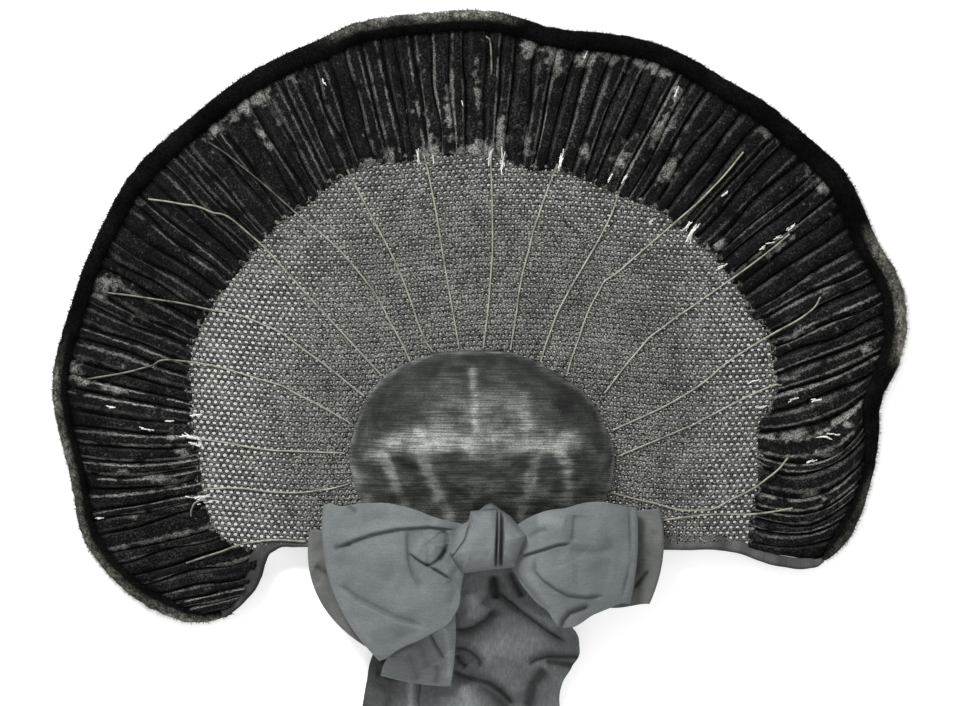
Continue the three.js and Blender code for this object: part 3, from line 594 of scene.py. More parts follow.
SATIN = ClothFinish("grey_satin", (0.075, 0.078, 0.075), (0.14, 0.146, 0.142), Weave.PLAIN, roughness=0.55,
                    relief=0.15, mottle=0.2, grain=0.15)
SILK = ClothFinish("blue_grey_silk", (0.106, 0.118, 0.118), (0.166, 0.184, 0.183), Weave.PLAIN, roughness=0.6,
                   relief=0.2, mottle=0.07, grain=0.1)
# A darker copy of the silk for the back loops: painted shade where the front loops hang over them.
SHADED_BACK_SILK = ClothFinish("shaded_silk", (0.08, 0.084, 0.079), (0.125, 0.13, 0.122), Weave.PLAIN, roughness=0.6,
                        relief=0.2, mottle=0.1, grain=0.1)
MOIRE = ClothFinish("grey_moire", (0.034, 0.037, 0.037), (0.168, 0.183, 0.184), Weave.MOIRE, roughness=0.55,
                    shine=0.25, relief=0.7, mottle=0.15, grain=0.12)
# A darker copy of the moire for the left tail: painted shade where the other tails lie over it.
SHADED_MOIRE = ClothFinish("shaded_moire", (0.018, 0.019, 0.019), (0.056, 0.06, 0.061), Weave.MOIRE,
                         roughness=0.5, shine=0.35, relief=0.7, mottle=0.25, grain=0.2, lint=0.35)


class Finishes:
    """The materials, each made once."""

    def __init__(self) -> None:
        """Starts with none made."""
        self.made: dict[str, bpy.types.Material] = {}

    def get(self, finish: ClothFinish | WireFinish) -> bpy.types.Material:
        """The material of a finish.

        Args:
            finish: The finish.

        Returns:
            Its material, made when it is first asked for.
        """
        if finish.name not in self.made:
            self.made[finish.name] = finish.build()
        return self.made[finish.name]


FINISHES = Finishes()


def make_object(name: str, points: np.ndarray, faces: Iterable[Sequence[int]],
                wear_and_painted_light: np.ndarray | None = None, edges: Iterable[Sequence[int]] = ()) -> Piece:
    """Makes a mesh object at the origin.

    Args:
        name: Its name.
        points: Its points, in metres.
        faces: Its faces.
        wear_and_painted_light: How worn each point is, from 0 to 1; on the bow and the crown painted light is
            mixed in.
        edges: Loose edges, for a piece made of threads.

    Returns:
        The object.
    """
    mesh = bpy.data.meshes.new(name)
    mesh.from_pydata(points.reshape(-1, 3).tolist(), list(edges), [list(f) for f in faces])
    worn = mesh.attributes.new("wear_and_painted_light", "FLOAT", "POINT")
    if wear_and_painted_light is not None:
        worn.data.foreach_set("value", np.asarray(wear_and_painted_light, np.float32).ravel())
    mesh.polygons.foreach_set("use_smooth", [True] * len(mesh.polygons))
    mesh.update()
    piece = bpy.data.objects.new(name, mesh)
    bpy.context.scene.collection.objects.link(piece)
    return piece


def grid_faces(rows: int, columns: int, ringed: bool = False) -> list[list[int]]:
    """Faces of a grid of points.

    Args:
        rows: Rows of points.
        columns: Points in a row.
        ringed: Whether a row closes on itself.

    Returns:
        The faces, as point numbers.
    """
    wide = columns if ringed else columns - 1
    return [[r * columns + c, r * columns + (c + 1) % columns, (r + 1) * columns + (c + 1) % columns,
             (r + 1) * columns + c] for r in range(rows - 1) for c in range(wide)]


def outward(piece: Piece) -> None:
    """Turns a closed mesh's faces outwards.

    Args:
        piece: The object.
    """
    build = bmesh.new()
    build.from_mesh(piece.data)
    bmesh.ops.recalc_face_normals(build, faces=build.faces)
    if build.calc_volume(signed=True) < 0:
        bmesh.ops.reverse_faces(build, faces=build.faces)
    build.to_mesh(piece.data)
    build.free()


def cloth_shell(name: str, grid: np.ndarray, wall: float, wear_and_painted_light: np.ndarray | None = None,
                ringed: bool = False) -> Piece:
    """A closed wall of cloth from a grid of points on its outer face.

    Args:
        name: The object's name.
        grid: Rows of points.
        wall: Thickness of the cloth, positive towards the other face.
        wear_and_painted_light: How worn each grid point is, with painted light mixed in on some pieces.
        ringed: Whether the rows close on themselves.

    Returns:
        The object.
    """
    rows, columns = grid.shape[:2]
    if ringed:
        along = np.roll(grid, -1, axis=1) - np.roll(grid, 1, axis=1)
    else:
        along = np.gradient(grid, axis=1)
    across = np.gradient(grid, axis=0)
    normal = np.cross(along, across)
    normal /= np.maximum(np.linalg.norm(normal, axis=-1, keepdims=True), 1e-12)
    far = rows * columns
    points = np.concatenate([grid.reshape(-1, 3), (grid + normal * wall).reshape(-1, 3)])
    faces = grid_faces(rows, columns, ringed)
    faces += [[k + far for k in reversed(face)] for face in faces]
    wide = columns if ringed else columns - 1
    last = (rows - 1) * columns
    for c in range(wide):
        n = (c + 1) % columns
        faces.append([n, c, c + far, n + far])
        faces.append([last + c, last + n, last + n + far, last + c + far])
    if not ringed:
        for r in range(rows - 1):
            a, b = r * columns, (r + 1) * columns
            faces.append([a, b, b + far, a + far])
            c, d = a + columns - 1, b + columns - 1
            faces.append([d, c, c + far, d + far])
    both = None if wear_and_painted_light is None else np.concatenate([wear_and_painted_light.ravel(), wear_and_painted_light.ravel()])
    piece = make_object(name, points, faces, both)
    outward(piece)
    return piece


def run_tree(piece: Piece, group: bpy.types.NodeTree, values: dict[str, object]) -> None:
    """Runs a geometry tree on a piece and keeps the result as its plain mesh.

    Args:
        piece: The object.
        group: The geometry tree.
        values: The tree's inputs, by name.
    """
    modifier = piece.modifiers.new("tree", "NODES")
    modifier.node_group = group
    for item in group.interface.items_tree:
        if item.item_type == "SOCKET" and item.in_out == "INPUT" and item.name in values:
            modifier[item.identifier] = values[item.name]
    graph = bpy.context.evaluated_depsgraph_get()
    mesh = bpy.data.meshes.new_from_object(piece.evaluated_get(graph), depsgraph=graph)
    piece.modifiers.remove(modifier)
    old = piece.data
    piece.data = mesh
    bpy.data.meshes.remove(old)


def open_tree(name: str, sockets: Sequence[tuple[str, str, object]]) -> tuple[NodeTree, Node]:
    """Starts a geometry tree with named inputs.

    Args:
        name: The tree's name.
        sockets: Name, type and default of each input after the geometry.

    Returns:
        The tree and its input node.
    """
    group = bpy.data.node_groups.new(name, "GeometryNodeTree")
    group.interface.new_socket("Geometry", in_out="INPUT", socket_type="NodeSocketGeometry")
    for title, kind, default in sockets:
        socket = group.interface.new_socket(title, in_out="INPUT", socket_type=kind)
        if default is not None:
            socket.default_value = default
    group.interface.new_socket("Geometry", in_out="OUTPUT", socket_type="NodeSocketGeometry")
    nodes = NodeTree(group)
    return nodes, nodes.add("NodeGroupInput")


def close_tree(nodes: NodeTree, start: Node, shape: Socket) -> bpy.types.NodeTree:
    """Ends a geometry tree with its shape made real and dressed in the tree's material.

    Args:
        nodes: The tree.
        start: Its input node.
        shape: The geometry that the tree has made.

    Returns:
        The finished node group.
    """
    real = nodes.add("GeometryNodeRealizeInstances", {0: shape})
    dressed = nodes.add("GeometryNodeSetMaterial", {"Geometry": real.outputs[0],
                                                    "Material": start.outputs["Material"]})
    nodes.add("NodeGroupOutput", {0: dressed.outputs[0]})
    return nodes.tree


def thread_tree() -> bpy.types.NodeTree:
    """A tree that turns every edge of a mesh into a thin round thread or wire.

    Returns:
        The node group.
    """
    nodes, start = open_tree("threads", [
        ("Radius", "NodeSocketFloat", 0.2 * MM), ("Sides", "NodeSocketInt", 3),
        ("Material", "NodeSocketMaterial", None)])
    curve = nodes.add("GeometryNodeMeshToCurve", {0: start.outputs["Geometry"]})
    ring = nodes.add("GeometryNodeCurvePrimitiveCircle", {"Resolution": start.outputs["Sides"],
                                                          "Radius": start.outputs["Radius"]})
    tube = nodes.add("GeometryNodeCurveToMesh", {"Curve": curve.outputs[0], "Profile Curve": ring.outputs[0],
                                                 "Scale": nodes.stored("thick"), "Fill Caps": True})
    return close_tree(nodes, start, tube.outputs[0])


def pile_tree() -> bpy.types.NodeTree:
    """A tree that covers a surface, apart from its underside, with short tapering fibres.

    Returns:
        The node group.
    """
    nodes, start = open_tree("pile_fibres", [
        ("Density", "NodeSocketFloat", 200000.0), ("Length", "NodeSocketFloat", 1.2 * MM),
        ("Width", "NodeSocketFloat", 0.15 * MM), ("Seed", "NodeSocketInt", SEED),
        ("Material", "NodeSocketMaterial", None)])
    facing = nodes.add("ShaderNodeSeparateXYZ", {0: nodes.add("GeometryNodeInputNormal").outputs[0]})
    upper = nodes.math("GREATER_THAN", facing.outputs["Z"], -0.3)
    spread = nodes.add("GeometryNodeDistributePointsOnFaces", {"Mesh": start.outputs["Geometry"],
                                                               "Selection": upper,
                                                               "Density": start.outputs["Density"],
                                                               "Seed": start.outputs["Seed"]})
    fibre = nodes.add("GeometryNodeMeshCone", {"Vertices": 3, "Radius Top": 0.0,
                                               "Radius Bottom": start.outputs["Width"],
                                               "Depth": start.outputs["Length"]}, fill_type="NGON")
    tilt = nodes.add("FunctionNodeRandomValue", {0: (-0.6, -0.6, 0.0), 1: (0.6, 0.6, 6.28),
                                                 "Seed": start.outputs["Seed"]}, data_type="FLOAT_VECTOR")
    turned = nodes.add("FunctionNodeRotateRotation", {"Rotation": spread.outputs["Rotation"],
                                                      "Rotate By": tilt.outputs[0]}, rotation_space="LOCAL")
    size = nodes.add("FunctionNodeRandomValue", {2: 0.5, 3: 1.2}, data_type="FLOAT")
    placed = nodes.add("GeometryNodeInstanceOnPoints", {"Points": spread.outputs["Points"],
                                                        "Instance": fibre.outputs[0],
                                                        "Rotation": turned.outputs[0],
                                                        "Scale": size.outputs[1]})
    both = nodes.add("GeometryNodeJoinGeometry")
    nodes.tree.links.new(placed.outputs[0], both.inputs[0])
    nodes.tree.links.new(start.outputs["Geometry"], both.inputs[0])
    return close_tree(nodes, start, both.outputs[0])


def gather_tree() -> bpy.types.NodeTree:
    """A tree that raises a flat strip of cloth into gathered folds with narrow valleys.

    Returns:
        The node group.
    """
    nodes, start = open_tree("gathers", [
        ("Depth", "NodeSocketFloat", 2.1 * MM), ("Sharpness", "NodeSocketFloat", 3.0),
        ("Material", "NodeSocketMaterial", None)])
    centred = nodes.math("MULTIPLY_ADD", nodes.math("FRACT", nodes.stored("phase")), 2.0, -1.0)
    steep = nodes.math("POWER", nodes.math("ABSOLUTE", centred), start.outputs["Sharpness"])
    profile = nodes.math("MULTIPLY_ADD", steep, -2.0, 1.0)
    swollen = nodes.math("MULTIPLY", profile, nodes.stored("swell"))
    lift = nodes.math("MULTIPLY", swollen, start.outputs["Depth"])
    offset = nodes.add("ShaderNodeCombineXYZ", {"Z": lift})
    raised = nodes.add("GeometryNodeSetPosition", {"Geometry": start.outputs["Geometry"],
                                                   "Offset": offset.outputs[0]})
    return close_tree(nodes, start, raised.outputs[0])


def set_float(piece: Piece, name: str, values: np.ndarray) -> None:
    """Writes a value for each point of a piece's mesh; a cloth wall's two faces share theirs.

    Args:
        piece: The object.
        name: The attribute's name.
        values: The values, in the order of the points.
    """
    layer = piece.data.attributes.get(name) or piece.data.attributes.new(name, "FLOAT", "POINT")
    flat = np.asarray(values, np.float32).ravel()
    layer.data.foreach_set("value", np.tile(flat, len(piece.data.vertices) // len(flat)))


def finish_piece(piece: Piece, nodes: Sequence[str],
                 finish: ClothFinish | WireFinish) -> None:
    """Dresses a piece and ties it to the frame.

    Args:
        piece: The object.
        nodes: The CAD nodes that it stands for.
        finish: Its finish.
    """
    piece.data.materials.clear()
    piece.data.materials.append(FINISHES.get(finish))
    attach(piece, "root")
    if nodes:
        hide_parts(*nodes)
    LOG.info("%s: %d faces", piece.name, len(piece.data.polygons))


@dataclass
class RimRoll:
    """The plush roll along the wheel's edge."""

    form: WheelForm
    stations: int = 460
    sides: int = 18
    fullness: float = 0.92
    flattened: float = 0.924
    widest: float = 0.96
    fibre: float = 2.1 * MM
    fibre_width: float = 0.13 * MM
    fibres_per_m2: float = 1200000.0
    worn: tuple[Stretch, ...] = (
        Stretch((-30, -20), (-4, 1), 0.35), Stretch((13, 17), (29, 33), 1.4),
        Stretch((84, 88), (104, 112), 0.8), Stretch((160, 172), (220, 230), 0.6),
        Stretch((199, 204), (220, 230), 0.3),
    )

    def wear_and_painted_light(self, angle: np.ndarray, turn: np.ndarray) -> np.ndarray:
        """How worn the pile is.

        Args:
            angle: Angles along the rim.
            turn: Turns round the roll, 0 at its outer side.

        Returns:
            A value from 0 to 1.
        """
        outer = smooth(np.cos(turn), -0.2, 0.6)
        along = sum(stretch.at(angle) for stretch in self.worn)
        around = np.stack(np.broadcast_arrays(angle * 0.55, turn * 1.3), axis=-1)
        broken = 0.75 + 0.5 * ripple(around, 1.0, 5.0)
        return np.clip(outer * broken * along, 0, 1)

    def build(self) -> Piece:
        """Makes the roll with its pile.

        Returns:
            The object.
        """
        form = self.form
        first, last = RIM[0][0], RIM[-1][0]
        angle = np.linspace(first, last, self.stations)
        edge, outwards = form.edge(angle)
        half = form.rim.at(2, angle) / 2
        share = np.linspace(0, 1, self.stations)
        taper = np.minimum(1, np.minimum(share, 1 - share) * self.stations / 4 + 0.45) ** 0.5
        turn = np.arange(self.sides) / self.sides * 2 * math.pi
        middle = edge - outwards * half[:, None]
        around = np.stack([np.cos(turn), np.sin(turn)], axis=-1) * 1.1
        lumps = ripple(np.stack(np.broadcast_arrays(angle[:, None] * 0.9 + around[None, :, 1] * 0.7,
                                                    around[None, :, 0]), axis=-1), 1.0)
        swell = (taper[:, None] * (self.widest + 0.16 * lumps)) * half[:, None]
        places = middle[:, None] + outwards[:, None] * (np.cos(turn)[None] * swell)[..., None]
        tall = half * form.step * self.fullness
        height = tall[:, None] * (np.sin(turn)[None] * (1 + 0.1 * lumps) * taper[:, None] + self.flattened)
        points = form.points(places, np.maximum(height, 0))
        faces = grid_faces(self.stations, self.sides, ringed=True)
        ring = list(range(self.sides))
        faces += [ring[::-1], [k + (self.stations - 1) * self.sides for k in ring]]
        piece = make_object("plush_roll", points, faces, self.wear_and_painted_light(angle[:, None], turn[None]))
        outward(piece)
        run_tree(piece, pile_tree(), {"Density": self.fibres_per_m2, "Length": self.fibre,
                                      "Width": self.fibre_width, "Seed": SEED,
                                      "Material": FINISHES.get(PLUSH)})
        self.press_on_floor(piece)
        finish_piece(piece, ["rim_roll"], PLUSH)
        return piece

    @staticmethod
    def press_on_floor(piece: Piece) -> None:
        """Lifts fibres that reach below the floor up to it.

        Args:
            piece: The object.
        """
        spots = np.empty(len(piece.data.vertices) * 3, np.float32)
        piece.data.vertices.foreach_get("co", spots)
        spots[2::3] = np.maximum(spots[2::3], 0)
        piece.data.vertices.foreach_set("co", spots)


@dataclass(frozen=True)
class RubbedSpot:
    """A rubbed patch in the band, as a place, its length along the fold and its width, in steps."""

    x: float
    y: float
    long: float
    wide: float
    strength: float = 1.0

    def wear_and_painted_light(self, places: np.ndarray) -> np.ndarray:
        """The patch's wear, longest along the line from the hub.

        Args:
            places: Plan places.

        Returns:
            The wear at each.
        """
        middle = np.array([self.x, self.y])
        way = middle / np.linalg.norm(middle)
        offset = places - middle
        along = offset @ way / self.long
        across = (offset[..., 0] * -way[1] + offset[..., 1] * way[0]) / self.wide
        return self.strength * np.exp(-(along**2 + across**2))


RUBBED = tuple(RubbedSpot(*row) for row in (
    # x, y, length, width, strength where it isn't 1
    (4.8, 42.4, 1.3, 1.1), (7.3, 41.0, 2.0, 1.1), (10.4, 41.2, 1.4, 1.1), (12.9, 41.4, 1.2, 1.2),
    (15.8, 41.0, 0.8, 1.6), (18.2, 40.3, 1.2, 1.3), (19.6, 37.5, 0.7, 0.6), (2.0, 33.5, 2.6, 0.7),
    (4.5, 32.8, 1.4, 0.6), (18.0, 34.0, 2.8, 0.6), (18.6, 29.6, 1.6, 0.8), (13.8, 31.2, 2.0, 0.7),
    (10.1, 31.7, 0.9, 0.7), (-5.2, 31.6, 1.0, 1.2), (-1.5, 31.7, 1.0, 1.2), (0.4, 31.9, 0.9, 1.0),
    (-9.3, 31.4, 0.8, 0.6), (-11.2, 30.5, 0.7, 0.7), (-19.0, 39.6, 0.8, 1.3, 1.2),
    (-22.1, 37.6, 1.0, 1.3, 1.4), (-24.2, 35.9, 0.8, 1.2, 1.2), (-26.7, 34.2, 0.9, 1.2, 1.2),
    (-20.5, 35.5, 2.0, 0.4, 0.9), (-21.8, 33.0, 1.6, 0.5, 0.8), (-3.2, 35.6, 3.2, 0.45, 0.95),
    (-0.4, 37.4, 3.0, 0.4, 0.9), (-5.4, 34.6, 2.4, 0.35, 0.8), (-34.2, 29.5, 1.1, 0.8, 0.7),
    (-34.6, 26.8, 1.0, 0.8, 0.7), (-38.3, 18.0, 1.2, 1.2, 0.7), (-36.8, 18.6, 1.4, 0.8, 0.7),
    (-40.9, 9.8, 0.9, 1.6), (-39.5, 9.0, 1.2, 0.6, 0.7), (-36.5, 7.8, 1.4, 0.5, 0.8),
    (-30.4, 3.2, 2.2, 0.6, 0.8), (-33.8, -0.6, 1.6, 0.5, 0.7), (28.7, 33.5, 0.8, 0.9, 0.7),
    (32.7, 30.1, 0.7, 1.0, 0.8), (34.3, 28.2, 1.0, 1.1), (29.8, 22.2, 2.0, 0.3, 0.9),
    (36.8, 26.5, 0.7, 0.7, 0.7), (23.8, 22.5, 1.0, 0.9, 0.8), (31.8, 13.6, 2.6, 0.4, 0.8),
    (38.5, 12.2, 1.1, 0.6, 0.7), (28.4, 6.6, 1.0, 0.8, 0.6), (30.5, 9.0, 2.2, 0.4, 0.6),
    (-30.6, -1.4, 1.4, 0.6, 0.9), (-35.0, -4.8, 0.9, 0.4, 0.8), (-29.8, 1.2, 0.9, 0.8, 0.8),
    (-36.1, -0.3, 0.7, 0.6, 0.8), (-33.8, 15.2, 1.2, 0.3, 0.8), (-32.4, -0.9, 1.0, 0.5, 1.0),
    (34.5, 1.6, 1.6, 0.5, 0.9), (31.5, 3.0, 1.4, 0.5, 0.8), (36.8, 4.4, 1.2, 0.4, 0.8),
    (33.0, -2.6, 1.8, 0.4, 0.8),
))


@dataclass
class GatheredBand:
    """The velvet band, gathered into folds between the roll and the net."""

    form: WheelForm
    folds: int = 92
    per_fold: int = 12
    rows: int = 36
    depth: float = 2.2 * MM
    sharpness: float = 2.6
    wall: float = 0.8 * MM
    under_roll: float = 0.64
    tuck: float = 2.2 * MM
    sway: float = 0.19
    flat: Pair = (0.9, 0.075)
    calm: float = 0.32
    rubbed: tuple[Stretch, ...] = (
        Stretch((-40, -30), (15, 40)), Stretch((52, 66), (98, 116), 0.7), Stretch((150, 172), (220, 230)),
    )

    def fold_angles(self, random: np.random.Generator, phase: np.ndarray) -> np.ndarray:
        """Angles along the roll, with wider folds at the wheel's right end.

        Args:
            random: Where the folds' unevenness comes from.
            phase: The fold's number, running on over each fold.

        Returns:
            The angle at each phase.
        """
        first, last = LEAN[0][0], LEAN[-1][0]
        spacing = 1 + 0.8 * np.exp(-np.arange(self.folds) / 4)
        bounds = first + (last - first) * np.concatenate([[0], np.cumsum(spacing)]) / spacing.sum()
        bounds[1:-1] += random.uniform(-0.6, 0.6, self.folds - 1)
        return np.interp(phase, np.arange(self.folds + 1), bounds)

    def build(self) -> Piece:
        """Makes the folded band.

        Returns:
            The object.
        """
        form = self.form
        random = np.random.default_rng(SEED)
        columns = self.folds * self.per_fold + 1
        phase = np.linspace(0, self.folds, columns)
        angle = self.fold_angles(random, phase)
        end = form.lean.at(1, angle)
        sag = form.lean.at(2, angle)
        edge, outwards = form.edge(angle)
        outer = edge - outwards * (form.rim.at(2, angle) * self.under_roll)[:, None]
        ragged = 0.2 * waver(angle, 2.3) + 0.16 * waver(angle, 7.3, 4.0)
        inner = unit(end) * (form.meet.at(1, end) + ragged - 0.1)[:, None]
        share = np.linspace(0, 1, self.rows)[:, None]
        side = inner - outer
        side = np.stack([-side[:, 1], side[:, 0]], axis=-1) / np.linalg.norm(side, axis=-1, keepdims=True)
        places = outer[None] + (inner - outer)[None] * share[..., None]
        wander = random.normal(0, 1, (3, self.folds + 2))
        fold = np.floor(phase + 0.5).astype(int)
        sway = sum(wander[k][fold][None] * np.sin(share * math.pi * (k + 1)) for k in range(3)) * self.sway
        blend = np.abs(2 * (phase - np.floor(phase)) - 1) ** 2
        places += side[None] * ((sag * 4)[None] * share * (1 - share) + sway * blend[None])[..., None]
        swell = 0.7 + 0.3 * np.sin(np.pi * np.clip(share * 0.9 + 0.12, 0, 1))
        swell = swell * (1 - 0.45 * smooth(share, 0.86, 1.0)) * (0.35 + 0.65 * smooth(share, 0.03, 0.2))
        strength = random.uniform(0.7, 1.0, self.folds + 1)[np.floor(phase).astype(int).clip(0, self.folds)]
        height = form.height(places)
        height += 0.5 * MM * ripple(places, 0.9, 12.0) + 0.35 * MM * ripple(places, 2.6, 5.0)
        height -= self.tuck * smooth(0.13 - share, 0, 0.12)
        piece = make_object("gathered_band", form.points(places, height), grid_faces(self.rows, columns),
                            self.wear_and_painted_light(places, share))
        set_float(piece, "phase", np.broadcast_to(phase[None], (self.rows, columns)))
        set_float(piece, "swell", np.broadcast_to(swell * strength[None], (self.rows, columns)))
        set_float(piece, "crest", self.crest(form.angle(places), share))
        # Painted shade deep in each fold's valley and along the band's edge under the roll.
        set_float(piece, "painted_shading", np.clip(blend[None] ** 3 * 0.9 + 0.8 * smooth(0.12 - share, 0, 0.1), 0, 1))
        run_tree(piece, gather_tree(), {"Depth": self.depth, "Sharpness": self.sharpness,
                                        "Material": FINISHES.get(BAND_VELVET)})
        wall = piece.modifiers.new("wall", "SOLIDIFY")
        wall.thickness = self.wall
        wall.offset = 0
        wall.use_quality_normals = True
        finish_piece(piece, ["pleated_band"], BAND_VELVET)
        return piece

    def crest(self, angle: np.ndarray, share: np.ndarray) -> np.ndarray:
        """How strongly the folds' shoulders are rubbed pale and lit with painted sheen.

        Args:
            angle: Angles of the band's grid.
            share: Way from the roll to the net.

        Returns:
            A value from 0 to 1 for each point.
        """
        level = np.maximum(self.calm, np.max([stretch.at(angle) for stretch in self.rubbed], axis=0))
        return level * (0.55 + 0.45 * smooth(share, 0.05, 0.3)) * (0.6 + 0.4 * smooth(1 - share, 0.0, 0.3))

    def wear_and_painted_light(self, places: np.ndarray, share: np.ndarray) -> np.ndarray:
        """Rubbed patches.

        Args:
            places: The band's grid of plan places.
            share: Way from the roll to the net.

        Returns:
            A value from 0 to 1 for each point.
        """
        wear_and_painted_light = sum(spot.wear_and_painted_light(places) for spot in RUBBED)
        wear_and_painted_light += 0.28 * smooth(share, 0.93, 1.0)
        return np.clip(wear_and_painted_light, 0, 1)


@dataclass
class WheelNet:
    """The see-through net between the band and the crown: wavy rows of yarn tied by short links."""

    form: WheelForm
    column: float = 0.66
    row: float = 0.52
    bend: float = 0.13
    side: float = 34
    top: float = 35
    lowest: float = -7.6
    corner_drop: float = 1.2
    cut: Pair = (0.25, 0.5)
    flat: Pair = (0.46, 0.15)
    cloth_area: float = 0.06
    dense: float = 0.82
    open: float = 0.58
    open_left: Stretch = Stretch((112, 150), (220, 230))
    open_right: Stretch = Stretch((-40, -30), (25, 60), 0.75)

    def knots(self) -> tuple[np.ndarray, np.ndarray]:
        """The net's grid of knots, bent and pulled a little out of true.

        Returns:
            The knots' plan places, and 1 or -1 for each as it is bent up or down.
        """
        wide = int(2 * self.side / (self.column / 2))
        tall = int((self.top - self.lowest) / self.row)
        across, up = np.meshgrid(np.arange(wide), np.arange(tall), indexing="ij")
        bent = np.where((across + up) % 2 == 0, 1, -1)
        places = np.stack([-self.side + across * self.column / 2,
                           self.lowest - 1.64 + (up + self.bend * bent) * self.row], axis=-1)
        places[..., 1] += 0.5 * np.sin(places[..., 0] * 0.16 + 1.0)
        places[..., 0] += 0.5 * np.sin(places[..., 1] * 0.2)
        return places + 0.05 * np.stack([ripple(places, 2.1, 1.0), ripple(places, 2.1, 4.0)], axis=-1), bent

    def build(self) -> Piece:
        """Makes the net's rows and links.

        Returns:
            The object.
        """
        form = self.form
        places, bent = self.knots()
        kept = self.inside(places)
        number = np.arange(kept.size).reshape(kept.shape)
        rows = self.pairs(number[:-1], number[1:], kept[:-1] & kept[1:])
        tied = kept[:, :-1] & kept[:, 1:] & (bent[:, :-1] == 1)
        links = self.pairs(number[:, :-1], number[:, 1:], tied)
        flat = np.concatenate([places.reshape(-1, 2)[rows.ravel()], places.reshape(-1, 2)[links.ravel()]])
        joined, again = np.unique(rows.ravel(), return_inverse=True)
        spots = np.concatenate([places.reshape(-1, 2)[joined], flat[rows.size:]])
        edges = np.concatenate([again.reshape(-1, 2), len(joined) + np.arange(links.size).reshape(-1, 2)])
        share = self.share(spots)
        cover = self.cover(form.angle(spots), share, spots)
        yarn = cover * self.row / 2 * 1.25
        yarn[len(joined):] = cover[len(joined):] * self.column / 2 * 0.85
        height = form.height(spots) + 0.5 * MM * ripple(spots, 0.12, 2.0)
        piece = make_object("fine_net", form.points(spots, height), [], self.wear_and_painted_light(spots, share),
                            edges.tolist())
        set_float(piece, "thick", yarn * form.step)
        run_tree(piece, thread_tree(), {"Radius": 1.0, "Sides": 4, "Material": FINISHES.get(NET_THREAD)})
        finish_piece(piece, ["wheel_net"], NET_THREAD)
        return piece

    def inside(self, places: np.ndarray) -> np.ndarray:
        """Which plan places the net covers, from just under the crown to just under the band.

        Args:
            places: Plan places.

        Returns:
            True for each place that it covers.
        """
        angle = self.form.angle(places)
        reach = np.linalg.norm(places, axis=-1)
        inner = self.form.crown.at(1, angle) - self.cut[0]
        outer = self.form.meet.at(1, angle) + self.cut[1]
        lowest = self.lowest - self.corner_drop * smooth(-places[..., 0], 21.9, 23.0)
        return (reach > inner) & (reach < outer) & (places[..., 1] > lowest)

    @staticmethod
    def pairs(first: np.ndarray, second: np.ndarray, kept: np.ndarray) -> np.ndarray:
        """The pairs of knots that are kept."""
        return np.stack([first[kept], second[kept]], axis=-1)

    def share(self, places: np.ndarray) -> np.ndarray:
        """How far plan places are on the way from the crown to the band.

        Args:
            places: Plan places.

        Returns:
            The share, 0 at the crown and 1 at the band.
        """
        angle = self.form.angle(places)
        inner = self.form.crown.at(1, angle)
        reach = np.linalg.norm(places, axis=-1)
        return np.clip((reach - inner) / (self.form.meet.at(1, angle) - inner), 0, 1)

    def cover(self, angle: np.ndarray, share: np.ndarray, places: np.ndarray) -> np.ndarray:
        """How much of the room between two rows the yarn itself fills.

        Args:
            angle: Angles of the net's knots.
            share: Way from the crown to the band.
            places: Plan places of the knots.

        Returns:
            A share from 0 to 1.
        """
        # The yarn fills more of the room near the crown and at the top, so less bright floor shows there;
        # this extra cover stands in for the shade under the raised net.
        open_left = self.open_left.at(angle) * smooth(share, 0.2, 0.85)
        open_right = self.open_right.at(angle) * smooth(share, 0.35, 0.9)
        open_edge = 0.5 * smooth(share, 0.55, 1.0)
        openness = np.maximum(np.maximum(open_left, open_right), open_edge)
        loose = 0.05 * ripple(places, 0.5, 6.0) + 0.08 * ripple(places, 1.9, 8.0)
        return self.dense - (self.dense - self.open) * openness + loose

    def wear_and_painted_light(self, places: np.ndarray, share: np.ndarray) -> np.ndarray:
        """Greyer, lighter yarn here and there, most of all near the crown."""
        return np.clip(0.6 + 0.5 * ripple(places, 0.8, 3.0) + 0.2 * (1 - share), 0, 1)


